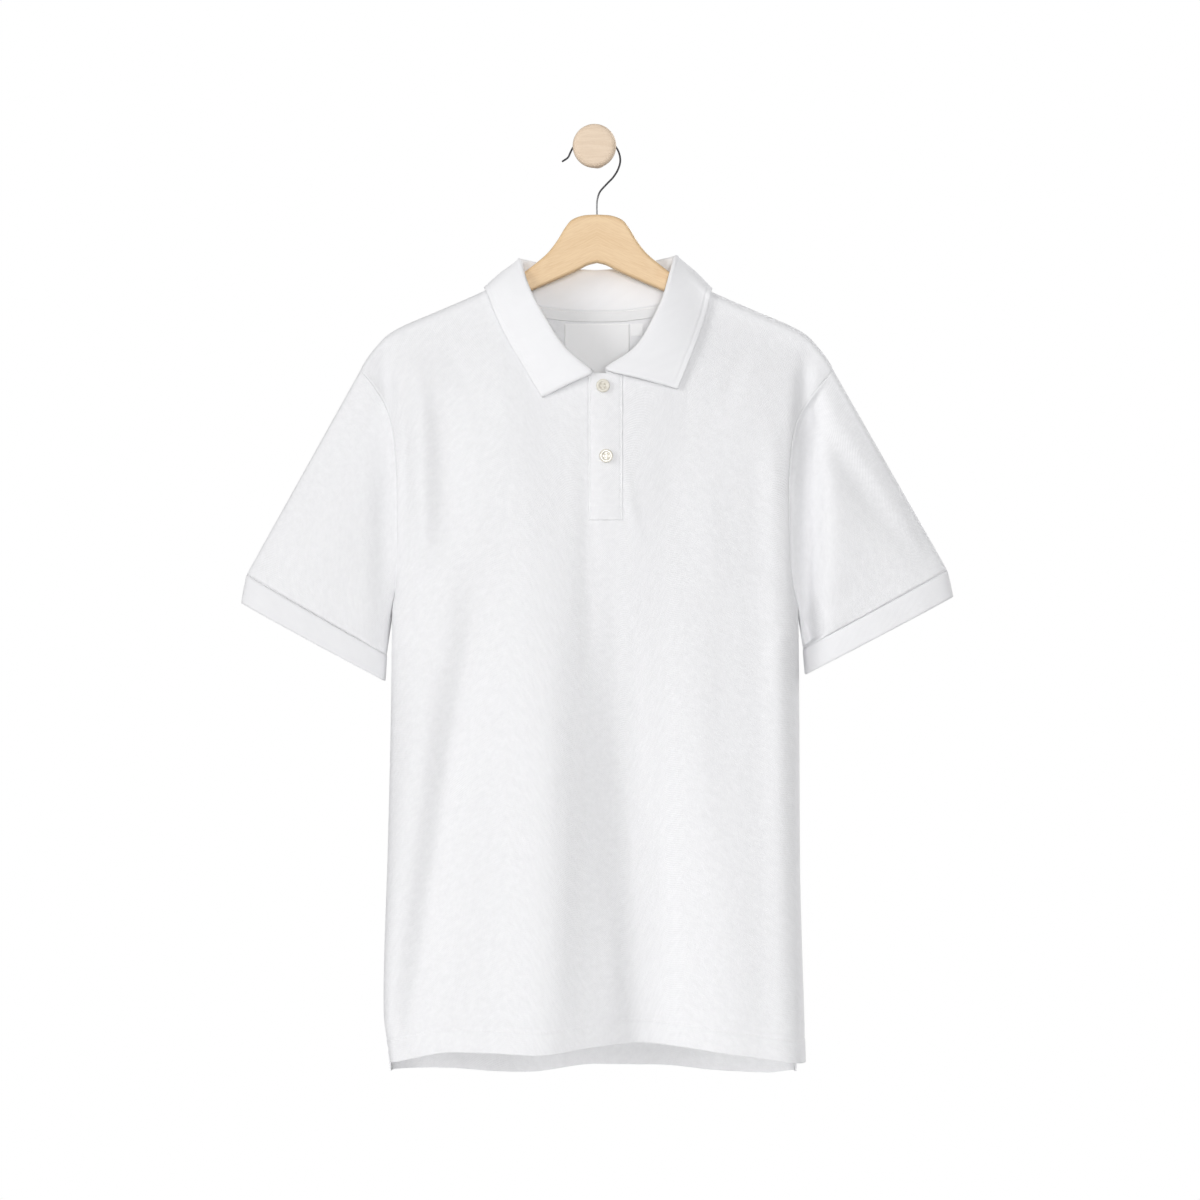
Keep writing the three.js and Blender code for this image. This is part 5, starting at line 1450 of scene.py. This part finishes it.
def floor_piece():
    """Plain pale floor: a disc of rings, 0.5 m below the hem, outside the camera's view."""
    rings, sides = 12, 96
    radius = np.linspace(0.002, 1.5, rings) / MM
    angle = np.linspace(0, 2 * np.pi, sides, endpoint=False)
    verts = np.stack([
        radius[:, None] * np.cos(angle), -60 + radius[:, None] * np.sin(angle), np.full(
            (rings, sides), -1400.0
        )
    ], -1)
    faces = capped_faces(rings, sides)[:-1]
    material = bpy.data.materials.new("pale_floor")
    material.use_nodes = True
    tree = material.node_tree
    place = node(tree, "ShaderNodeTexCoord").outputs["Object"]
    patch = noise(tree, place, 3.0, 3.0)
    tree.links.new(
        mixed(tree, patch, (0.8, 0.8, 0.8, 1), (0.84, 0.84, 0.84, 1)),
        tree.nodes["Principled BSDF"].inputs["Base Color"]
    )
    tree.nodes["Principled BSDF"].inputs["Roughness"].default_value = 0.9
    return put("floor", verts.reshape(-1, 3), [f[::-1] for f in faces], material)


floor = floor_piece()


def soft_light(name, azimuth, elevation, spread, strength):
    """Even soft light from far off: azimuth 0 comes from the camera's side and negative ones from -X;
    spread is the angle that the lamp fills."""
    data = bpy.data.lights.new(name, "SUN")
    data.energy, data.angle = strength, np.radians(spread)
    lamp = bpy.data.objects.new(name, data)
    lamp.rotation_euler = (np.radians(90 - elevation), 0, np.radians(azimuth))
    lamp.location = (0, -3, 1)
    bpy.context.scene.collection.objects.link(lamp)
    return lamp


soft_light("key", -54, 12, 24, 1.1)
soft_light("fill", 3, 0, 14, 1.42)
soft_light("rear", 132, 25, 24, 1.5)


def soft_panel(name, place, aim, side, power):
    """Square soft lamp of that side, at a place and turned to an aim, both in metres; its light falls
    off with distance, so that the shoulders are a little lighter than the hem."""
    data = bpy.data.lights.new(name, "AREA")
    data.energy, data.size = power, side
    lamp = bpy.data.objects.new(name, data)
    lamp.location = place
    away = np.subtract(aim, place)
    lamp.rotation_euler = (np.arctan2(np.hypot(away[0], away[1]), -away[2]), 0, np.arctan2(-away[0], away[1]))
    bpy.context.scene.collection.objects.link(lamp)
    return lamp


soft_panel("upper", (0.4, -2.4, 0.7), (0.0, -0.05, -0.35), 1.2, 7.0)

world = bpy.data.worlds.new("studio")
bpy.context.scene.world = world
world.use_nodes = True
sky = world.node_tree
sky.nodes.clear()
seen = node(sky, "ShaderNodeBackground", {"Color": (1, 1, 1, 1), "Strength": 1.0})
way = node(sky, "ShaderNodeSeparateXYZ", {0: node(sky, "ShaderNodeTexCoord").outputs["Generated"]})
white_wall = node(
    sky, "ShaderNodeMapRange",
    {"Value": way.outputs[1], "From Min": 0.0, "From Max": 0.7, "To Min": 0.26, "To Max": 0.6},
    interpolation_type="SMOOTHSTEP",
)
lit = node(sky, "ShaderNodeBackground", {"Color": (1, 1, 1, 1), "Strength": white_wall.outputs[0]})
path_kind = node(sky, "ShaderNodeLightPath")
either = node(
    sky, "ShaderNodeMixShader", {0: path_kind.outputs["Is Camera Ray"], 1: lit.outputs[0], 2: seen.outputs[0]}
)
node(sky, "ShaderNodeOutputWorld", {0: either.outputs[0]})
bpy.context.scene.view_settings.view_transform = "Standard"
